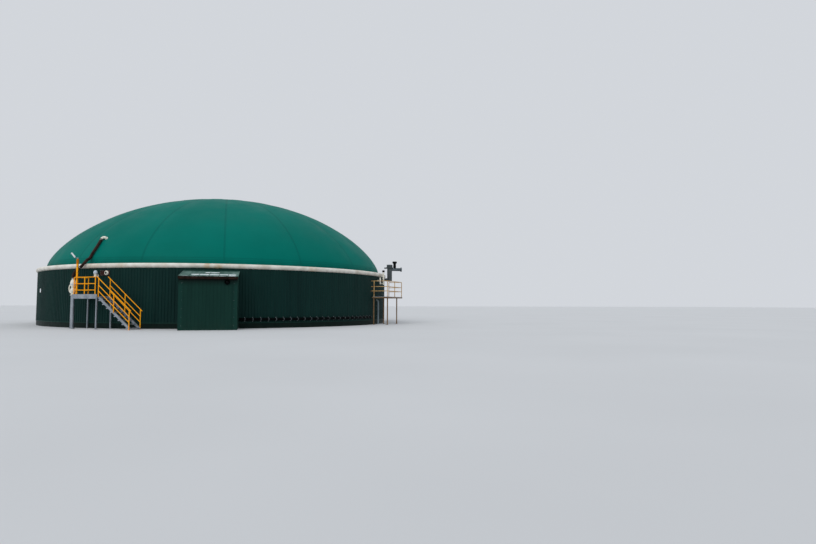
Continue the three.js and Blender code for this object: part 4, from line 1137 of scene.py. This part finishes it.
def add_lamp_post():
    """The post on its plate, with its rusted top and the cable clipped along it."""
    x, y = LAMP_X, -LAMP_DISTANCE
    foot, cap = LEFT.z + SEAT, LAMP_TOP - LAMP_CAP
    shape = Shape("yellow", LEFT.azimuth)
    shape.tube([(x, y, foot), (x, y, cap)], LAMP_RADIUS, 28)
    shape.pad(x, y, 0.09, foot, foot + 0.012)
    shape.corner_bolts(x, y, foot + 0.012, 0.07, 0.07, 0.011)
    shape.use("orange")
    shape.turned([(LAMP_RADIUS + 0.003, 0.0), (LAMP_RADIUS + 0.006, 0.006),
                  (LAMP_RADIUS + 0.006, LAMP_CAP - 0.006), (LAMP_RADIUS, LAMP_CAP)], (x, y, cap))
    shape.use("black")
    shape.tube([(x + 0.065, y, foot + 0.02), (x + 0.065, y, cap - 0.02)], 0.008, 10)
    for z in spread(foot + 0.25, LAMP_TOP - 0.45, 5):
        shape.disc(LAMP_RADIUS + 0.002, 0.0, 0.012, (x, y, z))
    shape.piece("lamp_pole", "yellow_paint", "lamp_post")


def add_floodlight():
    """The head: a finned back, a rim round the lens, and the arm that carries it over the post."""
    foot = (LAMP_X, -LAMP_DISTANCE, LAMP_TOP + SEAT)
    head = Shape("white", LEFT.azimuth)
    upright = head.frame.copy()
    arm = upright @ Matrix.Translation(foot) @ turned_by(FLOOD_TURN)
    tilted = arm @ Matrix.Translation((-FLOOD_ARM, 0.0, 0.07)) @ turned_by(FLOOD_TILT, "Y")
    far, half, deep, rim = -FLOOD_LENGTH, FLOOD_HALF_WIDTH, FLOOD_HALF_DEPTH, FLOOD_RIM
    head.frame = tilted
    head.block((far, -half, -0.010), (0.0, half, 0.020))
    for y in spread(-half + 0.01, half - 0.01, 13):
        head.block((far + 0.02, y - 0.003, 0.018), (-0.02, y + 0.003, deep))
    for start, end in ((far, far + rim), (-rim, 0.0)):
        head.block((start, -half, -deep), (end, half, -0.008))
    for side in (-half, half - rim):
        head.block((far + rim, side, -deep), (-rim, side + rim, -0.008))
    head.use("lens")
    head.block((far + 0.016, -half + 0.016, -0.030), (-0.016, half - 0.016, -0.010))
    head.use("galvanised")
    head.block((-0.03, -half + 0.03, 0.0), (0.004, half - 0.03, 0.012))
    head.frame = arm
    head.block((-FLOOD_ARM - 0.03, -0.03, 0.035), (0.0, 0.03, 0.06))
    head.frame = upright
    head.turned([(0.049, 0.0), (0.049, 0.055), (0.035, 0.07)], foot)
    head.piece("floodlight_head", "cream_paint", "floodlight")


def add_valve_column():
    x, y = VALVE_X, -VALVE_DISTANCE
    shape = Shape("galvanised", LEFT.azimuth)
    top = VALVE_FOOT - 0.02
    for radius, low, high in ((0.1, 0.0, top), (0.145, top - SEAT, top - SEAT + 0.02), (0.16, 0.0, 0.018),
                              (0.104, 0.62, 0.65), (0.104, 1.32, 1.35)):
        shape.disc(radius, low, high, (x, y, 0.0), sides=36)
    shape.bolt_circle(0.132, 6, 0.014, (x, y, 0.018), first=-30.0)
    shape.piece("valve_column", "galvanised", "relief_column")


def bulb(bottom, height, neck, belly):
    """The profile of a bulb that swells from a neck and back."""
    shares = spread(0, 1, 13)
    bend = [share if share < 0.5 else share ** 1.05 for share in shares]
    swell = [0.0, *[math.sin(math.pi * share) ** 0.75 for share in bend[1:-1]], 0.0]
    return [(neck + (belly - neck) * swollen, bottom + height * share)
            for share, swollen in zip(shares, swell)]


def add_valve():
    """The relief valve of the dome's air space: two bulbs between flanges, and a bypass loop."""
    shape = Shape("cream", LEFT.azimuth)
    base = Vector((VALVE_X, -VALVE_DISTANCE, VALVE_FOOT))
    shape.turned([(0.13, 0.0), (0.13, 0.024), (0.085, 0.03), (0.085, 0.13), (0.09, 0.14),
                  *bulb(0.15, 0.27, 0.085, 0.14), (0.075, 0.43), (0.075, 0.47), (0.09, 0.475),
                  *bulb(0.48, 0.40, 0.09, 0.15), (0.07, 0.885), (0.07, 0.955)], base, sides=40)
    for height, reach in ((0.04, 0.13), (0.435, 0.10), (0.455, 0.10), (0.90, 0.09)):
        shape.disc(reach, height, height + 0.014, base, sides=40)
    shape.bolt_circle(0.112, 8, 0.008, base + Vector((0, 0, 0.054)))
    loop = ((-0.07, 0.6), (-0.2, 0.59), (-0.27, 0.48), (-0.265, 0.3), (-0.19, 0.17), (-0.05, 0.11))
    path = smooth_path([base + Vector((along, 0, up)) for along, up in loop], 40)
    shape.tube(path, 0.036)
    for at in (5, 20, 34):
        shape.bead(0.038, 0.043, 0.02, 0.004, path[at], path[at + 1] - path[at - 1], 20)
    shape.use("pale_blue")
    shape.bead(0.152, 0.154, 0.03, 0.01, base + Vector((0, 0, 0.63)), sides=40)
    shape.piece("relief_valve", "cream_paint", "pressure_valve")


def on_dome(along, radius, offset=HOSE_OFF_DOME):
    """A point off the dome, from its X along the left platform and the radius that it lies over."""
    out, z = dome_at(radius, offset)
    return along, wall_y(along, out), z


def add_hose():
    """The air hose over the band and up the dome, with its rings and clips."""
    x, y = VALVE_X, -VALVE_DISTANCE
    route = [
        (x, y, VALVE_TOP + SEAT), (x, y, 3.04), (-0.805, -13.02, 3.24), (-0.768, -12.87, 3.395),
        (-0.715, -12.755, 3.53), (-0.615, -12.705, 3.665), (-0.54, -12.61, 3.825), (-0.65, -12.375, 3.98),
        on_dome(-0.83, 11.93, 0.112), on_dome(-0.795, 11.8), on_dome(-0.755, 11.56), on_dome(-0.86, 11.16),
    ]
    length = sum((Vector(b) - Vector(a)).length for a, b in zip(route, route[1:]))
    per_ring = 4
    steps = round(length / HOSE_RING_PITCH) * per_ring
    path = smooth_path(route, steps)
    middle, swing = HOSE_RADIUS - HOSE_RING_DEPTH / 2, HOSE_RING_DEPTH / 2
    radii = [middle + swing * math.cos(2 * math.pi * step / per_ring) for step in range(steps + 1)]
    shape = Shape("hose", LEFT.azimuth)
    shape.tube(path, radii, 24)
    shape.use("steel")
    for at in (3, steps // 3, steps - 3):
        shape.bead(HOSE_RADIUS, HOSE_RADIUS + 0.002, 0.012, 0.002, path[at], path[at + 1] - path[at - 1], 24)
    shape.piece("flexible_hose", "hose_rubber", "air_hose", soft=60.0)
    add_elbow(path[-1], (path[-1] - path[-2]).normalized())


def add_elbow(end, ahead):
    """The elbow from the hose's end into the dome, with its beads, collar and patch."""
    away = Vector(ALONG).cross(ahead).normalized()
    across = ahead.cross(away)
    bend, straight = ELBOW_BEND, ELBOW_STRAIGHT

    def at(forward, sideways, up):
        return end + forward * ahead + sideways * across + up * away

    def over_foot(up):
        return at(straight + bend, straight + 2 * bend, up)

    turns = arc(0, bend, bend, bend, -90, 0, 9)
    route = [at(SEAT, 0, 0), *[at(straight + rise, reach, 0) for rise, reach in turns],
             *[at(straight + bend, bend + straight + rise, -reach) for rise, reach in turns],
             over_foot(-2.2 * bend)]
    upward = over_foot(-0.5 * bend) - route[-1]
    elbow = Shape("cream", LEFT.azimuth)
    elbow.tube(route, ELBOW_RADIUS - 0.005, 28)
    for index in (1, 9, 10, 18):
        head = route[index + 1] - route[index - 1] if index < 18 else -upward
        elbow.bead(ELBOW_RADIUS - 0.003, ELBOW_RADIUS + 0.002, 0.012, 0.004, route[index], head)
    elbow.turned([(ELBOW_COLLAR, 0.0), (ELBOW_COLLAR, 0.12), (ELBOW_RADIUS + 0.004, 0.145),
                  (ELBOW_RADIUS - 0.002, 0.155)], route[-1], upward, 32)
    elbow.use("weld")
    elbow.turned([(0.155, -0.020), (0.155, -0.002), (0.13, 0.002)], over_foot(-HOSE_OFF_DOME), upward, 40)
    elbow.piece("dome_elbow", "cream_paint", "hose_elbow", soft=50.0)


# Wall fittings

def cut_plate(shape, width, height, bend, middle, thickness):
    """An upright plate with its corners cut off, which grows outwards from its middle."""
    wide, high = width / 2, height / 2
    corner = [(wide - bend, -high), (wide, -high + bend), (wide, high - bend), (wide - bend, high)]
    outline = [*corner, *[(-x, -z) for x, z in corner]]
    shape.extrude(outline, middle, ALONG, UP, (0, -thickness, 0))


def add_sight_glass():
    """The sight glass in its bolted ring, on its back plate."""
    back = -SHEET_R - SEAT
    front = back - SIGHT_THICKNESS
    sight = Shape("brown", SIGHT_AZIMUTH)
    cut_plate(sight, SIGHT_WIDTH, SIGHT_HEIGHT, 0.02, (SIGHT_PLATE_X, back, SIGHT_Z), SIGHT_THICKNESS)
    wide, high = SIGHT_WIDTH / 2 - 0.03, SIGHT_HEIGHT / 2 - 0.03
    spots = [(side, up) for side in spread(-wide, wide, 6) for up in (-high, high)]
    for side, up in [*spots, (-wide, 0.0), (wide, 0.0)]:
        sight.bolt((SIGHT_PLATE_X + side, front, SIGHT_Z + up), OUTWARD, 0.010)
    sight.piece("sight_backplate", "brown_paint", "sight_plate")

    glass = Shape("cream", SIGHT_AZIMUTH)
    centre = (SIGHT_GLASS_X, front - SEAT, SIGHT_Z)
    rim, depth = SIGHT_GLASS_RADIUS, SIGHT_GLASS_DEPTH
    glass.turned([(rim, 0.0), (rim, depth / 2), (rim - 0.006, depth / 2 + 0.006),
                  (rim - 0.028, depth / 2 + 0.008), (rim - 0.034, depth - 0.02), (rim - 0.040, depth - 0.002),
                  (rim - 0.055, depth), (rim - 0.058, depth - 0.028)], centre, OUTWARD, 40)
    face = (SIGHT_GLASS_X, front - depth / 2 - 0.007, SIGHT_Z)
    glass.bolt_circle(rim - 0.016, 8, 0.009, face, OUTWARD, 22.5)
    glass.use("glass")
    pane = [(rim - 0.05, 0.05), (rim - 0.05, depth - 0.024), (rim - 0.058, depth - 0.022)]
    glass.turned(pane, centre, OUTWARD, 40)
    glass.piece("sight_ring", "cream_paint", "sight_glass")


def add_vent_valve():
    """A small valve under a round cap, on a flanged stub from the wall."""
    x, y, wall = VENT_VALVE_X, -SHEET_R - VENT_VALVE_OUT, -SHEET_R
    base, stub_z = (x, y, VENT_VALVE_BOTTOM), VENT_VALVE_BOTTOM + 0.08
    shape = Shape("cream", LEFT.azimuth)
    shape.turned([(0.07, 0.0), (0.075, 0.004), (0.075, 0.146), (0.06, 0.165), (0.06, 0.188), (0.098, 0.192)],
                 base, sides=32)
    for height in (0.02, 0.118):
        shape.disc(0.09, height, height + 0.014, base, sides=32)
    shape.tube([(x, wall + 0.02, stub_z), (x, y, stub_z)], 0.045, 24)
    shape.disc(0.08, 0.0, 0.016, (x, wall, stub_z), OUTWARD)
    shape.bolt_circle(0.064, 6, 0.007, (x, wall - 0.016, stub_z), OUTWARD, 15.0)
    shape.use("pale_blue")
    shape.turned([(0.095, 0.186), (0.11, 0.192), *arc(0, 0.27, 0.11, 0.112, 0, 84, 9)], base, sides=32)
    shape.piece("vent_valve_body", "cream_paint", "vent_valve")


def add_wall_plate():
    """A bare plate held off the ribs by four studs."""
    back = -SHEET_R - SEAT - PLATE_THICKNESS
    plate = Shape("white", PLATE_AZIMUTH)
    cut_plate(plate, PLATE_WIDTH, PLATE_HEIGHT, 0.012, (PLATE_X, back, PLATE_Z), PLATE_THICKNESS)
    plate.use("steel")
    for x in (PLATE_X - 0.125, PLATE_X + 0.125):
        for z in (PLATE_Z - 0.10, PLATE_Z + 0.10):
            plate.tube([(x, back, z), (x, wall_y(x) + 0.004, z)], 0.008, 12)
            plate.bolt((x, back - PLATE_THICKNESS, z), OUTWARD, 0.006)
    plate.piece("blank_plate", "cream_paint", "wall_plate")


# Right side: riser, vents, valve, drain

def riser_foot():
    """The riser's axis at ground level."""
    return turned_by(RIGHT.azimuth) @ Vector((RISER_X, -RISER_DISTANCE, 0.0))


def add_riser():
    """The gas riser with its flanges and capped head, the offtake from the tank, the inlet and the outlet."""
    foot = riser_foot()
    x, y, _ = foot
    shape = Shape("grey_pipe")
    pipe, head, flange = RISER_RADIUS, RISER_HEAD_RADIUS, RISER_FLANGE_RADIUS
    flange_z = RISER_TOP - 0.29
    shape.turned([(pipe * 0.25, 0.0), (pipe * 0.6, 0.014), (pipe * 0.86, 0.036), (pipe * 0.97, 0.058),
                  (pipe, 0.08), (pipe, flange_z - RISER_BOTTOM)], (x, y, RISER_BOTTOM), sides=48)
    for low, high in ((0.0, 0.042), (0.048, 0.09)):
        shape.disc(flange, low, high, (x, y, flange_z), sides=48)
    shape.bolt_circle((flange + head) / 2 + 0.001, 14, 0.011, (x, y, flange_z + 0.09), first=180 / 14)
    shape.turned([(head - 0.004, 0.0), (head, 0.006), (head, 0.17), (head - 0.006, 0.186),
                  (head - 0.025, 0.196), (head - 0.09, 0.2)], (x, y, RISER_TOP - 0.2), sides=48)
    for z in (RISER_BOTTOM + 0.086, OUTLET_Z - 0.394):
        shape.bead(pipe - 0.001, pipe + 0.003, 0.006, 0.003, (x, y, z), sides=48)

    inward = -foot.normalized()
    base = Vector((x, y, OFFTAKE_Z))
    shape.tube([base, base + inward * OFFTAKE_LENGTH], OFFTAKE_RADIUS, 36)
    wall = foot.length - SHEET_R
    for back, thick in ((pipe + 0.05, 0.024), (pipe + 0.078, 0.024), (wall - 0.012, 0.012)):
        shape.disc(OFFTAKE_FLANGE, back, back + thick, base, inward, 36)
    end = x - INLET_LENGTH
    shape.tube([(x, y, INLET_Z), (end, y, INLET_Z)], INLET_RADIUS - 0.008, 24)
    for back in (0.005, 0.045):
        shape.disc(INLET_RADIUS, back, back + 0.025, (end, y, INLET_Z), ALONG, 24)

    shape.use("dark_pipe")
    end = (x + OUTLET_LENGTH, y, OUTLET_Z)
    shape.tube([(x, y, OUTLET_Z), (end[0] - 0.005, y, OUTLET_Z)], OUTLET_RADIUS, 36)
    weld = [(OUTLET_RADIUS + 0.012, 0.0), (OUTLET_RADIUS + 0.004, 0.03)]
    shape.turned(weld, (x + pipe - 0.01, y, OUTLET_Z), ALONG, 36)
    for low, high in ((-0.06, -0.032), (-0.031, -0.004), (-0.002, 0.0)):
        shape.disc(OUTLET_FLANGE, low, high, end, ALONG, 36)
    shape.bolt_circle(OUTLET_FLANGE - 0.025, 8, 0.012, (end[0] - 0.06, y, OUTLET_Z), (-1, 0, 0), 22.5)
    shape.piece("riser_pipe", "grey_pipe", "gas_riser")


def add_cowl():
    """The mushroom vent on the outlet."""
    base = riser_foot() + COWL_FROM * Vector(ALONG)
    neck, cap, low, top = COWL_RADIUS, COWL_CAP, COWL_BOTTOM, COWL_TOP
    vent = Shape("black")
    vent.disc(neck, OUTLET_Z + 0.03, low + 0.02, base, sides=40)
    vent.disc(neck + 0.016, OUTLET_Z + 0.2, OUTLET_Z + 0.23, base, sides=40)
    vent.turned([(neck, low), (cap - 0.004, low + 0.03), (cap, low + 0.036), (cap, top - 0.03),
                 (cap - 0.008, top - 0.014), (cap - 0.03, top - 0.003), (cap - 0.07, top)], base, sides=40)
    vent.piece("mushroom_cowl", "black_plastic", "mushroom_vent")


def add_side_valve():
    """A slim upright valve on a flanged stub from the wall."""
    x, y, base = SIDE_VALVE_X, -SIDE_VALVE_DISTANCE, (SIDE_VALVE_X, -SIDE_VALVE_DISTANCE, 0.0)
    body, end, low, high = SIDE_VALVE_RADIUS, SIDE_VALVE_END, SIDE_VALVE_BOTTOM, SIDE_VALVE_TOP
    middle = (low + high) / 2
    shape = Shape("cream", RIGHT.azimuth)
    shape.turned([(end - 0.006, low), (end, low + 0.006), (end, low + 0.09), (body - 0.004, low + 0.11),
                  (body, low + 0.118), (body, high - 0.118), (body - 0.004, high - 0.11), (end, high - 0.09),
                  (end, high - 0.02), (end - 0.018, high)], base, sides=36)
    for z in (low + 0.05, high - 0.07):
        shape.disc(end + 0.012, z, z + 0.018, base, sides=36)
    shape.tube([(x, -SHEET_R + 0.05, middle), (x, y, middle)], 0.038, 24)
    face = (x, wall_y(x) - 0.014, middle)
    shape.disc(0.07, -0.02, 0.0, face, OUTWARD)
    shape.bolt_circle(0.054, 6, 0.007, face, OUTWARD, 30.0)
    shape.piece("side_valve_body", "cream_paint", "side_valve")


def add_stack():
    """The small vent with its black cap, on a stub from the wall."""
    base, z = (STACK_X, -STACK_DISTANCE, 0.0), STACK_BOTTOM + 0.08
    pipe, cap, top = STACK_RADIUS, STACK_CAP, STACK_TOP
    stack = Shape("cream", RIGHT.azimuth)
    stack.disc(pipe, STACK_BOTTOM, top - 0.12, base)
    for joint in (STACK_BOTTOM + 0.3, STACK_BOTTOM + 0.6):
        stack.disc(pipe + 0.012, joint, joint + 0.03, base)
    stack.tube([(STACK_X, -SHEET_R + 0.14, z), (STACK_X, -STACK_DISTANCE, z)], 0.04, 24)
    stack.use("black")
    stack.turned([(pipe, top - 0.13), (cap, top - 0.125), (cap, top - 0.03), (cap - 0.014, top - 0.012),
                  (pipe - 0.01, top)], base)
    stack.piece("small_stack", "cream_paint", "small_vent")


def add_drain():
    """The drain pipe, with its sleeves and the two clips that hold it to the wall."""
    x, y, top = DRAIN_X, -DRAIN_DISTANCE, DRAIN_TOP
    drain = Shape("drain", RIGHT.azimuth)
    drain.tube(smooth_path([(x, y, 0.0), (x, y, top / 2), (x, y, top - 0.2), (x, y + 0.03, top - 0.06),
                            (x, y + 0.16, top)], 40), DRAIN_RADIUS, 28)
    for height in (0.25, 1.05):
        drain.disc(DRAIN_RADIUS + 0.008, height, height + 0.05, (x, y, 0.0))
    for height in (0.6, 1.3):
        drain.disc(DRAIN_RADIUS + 0.003, height, height + 0.025, (x, y, 0.0))
        drain.block((x - 0.012, y, height), (x + 0.012, -SHEET_R + 0.03, height + 0.025))
    drain.piece("drain_downpipe", "grey_pipe", "drain_pipe")


def finish_concrete():
    """Concrete on the solids that stay as they are."""
    for name in ("floor_slab", *[f"tank_wall_{quarter}" for quarter, _ in QUARTERS]):
        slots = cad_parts[name].data.materials
        slots.clear()
        slots.append(FINISHES["concrete"])


# Studio

def add_studio():
    """A pale floor, an even pale sky and one wide soft light."""
    finish = Finish("studio_floor", 0.9)
    finish.set("Base Color", finish.mix(finish.noise(0.15, 3.0), (202, 204, 206), (212, 214, 216)))
    reach = 400.0
    mesh = bpy.data.meshes.new("studio_floor")
    mesh.from_pydata([(-reach, -reach, 0), (reach, -reach, 0), (reach, reach, 0), (-reach, reach, 0)], [],
                     [[0, 1, 2, 3]])
    mesh.materials.append(finish.material)
    floor = bpy.data.objects.new("studio_floor", mesh)
    floor.location.z = -0.002
    bpy.context.scene.collection.objects.link(floor)

    world = bpy.data.worlds.new("studio_sky")
    world.use_nodes = True
    background = world.node_tree.nodes["Background"]
    background.inputs["Color"].default_value = srgb(226, 230, 236)
    background.inputs["Strength"].default_value = 0.85
    bpy.context.scene.world = world

    light = bpy.data.lights.new("soft_light", "SUN")
    light.energy = 1.1
    light.angle = math.radians(60)
    light.color = (1.0, 0.985, 0.96)
    lamp = bpy.data.objects.new("soft_light", light)
    lamp.rotation_euler = (math.radians(48), 0, math.radians(-38))
    bpy.context.scene.collection.objects.link(lamp)


def add_camera():
    camera = bpy.data.cameras.new("camera")
    camera.sensor_width = SENSOR
    camera.lens = FOCAL_PIXELS * SENSOR / IMAGE_WIDTH
    camera.clip_end = 1000.0
    eye = bpy.data.objects.new("camera", camera)
    level = Matrix.Rotation(math.pi / 2 + CAMERA_PITCH, 4, "X") @ Matrix.Rotation(CAMERA_ROLL, 4, "Z")
    eye.matrix_world = Matrix.Translation(CAMERA_AT) @ turned_by(-CAMERA_HEADING) @ level
    bpy.context.scene.collection.objects.link(eye)
    bpy.context.scene.camera = eye


for build in (add_camera, add_studio, finish_concrete, add_cladding, add_cladding_screws, add_band,
              add_clamp_rail, add_dome, add_dome_seams, add_foot_pipe, add_housing, add_housing_roof,
              add_frost, add_house_lamp, add_left_platform, add_stair, add_stair_rails, add_right_platform,
              add_lamp_post, add_floodlight, add_valve_column, add_valve, add_hose, add_sight_glass,
              add_vent_valve, add_wall_plate, add_riser, add_cowl, add_side_valve, add_stack, add_drain):
    build()

bpy.context.scene.view_settings.view_transform = "Standard"
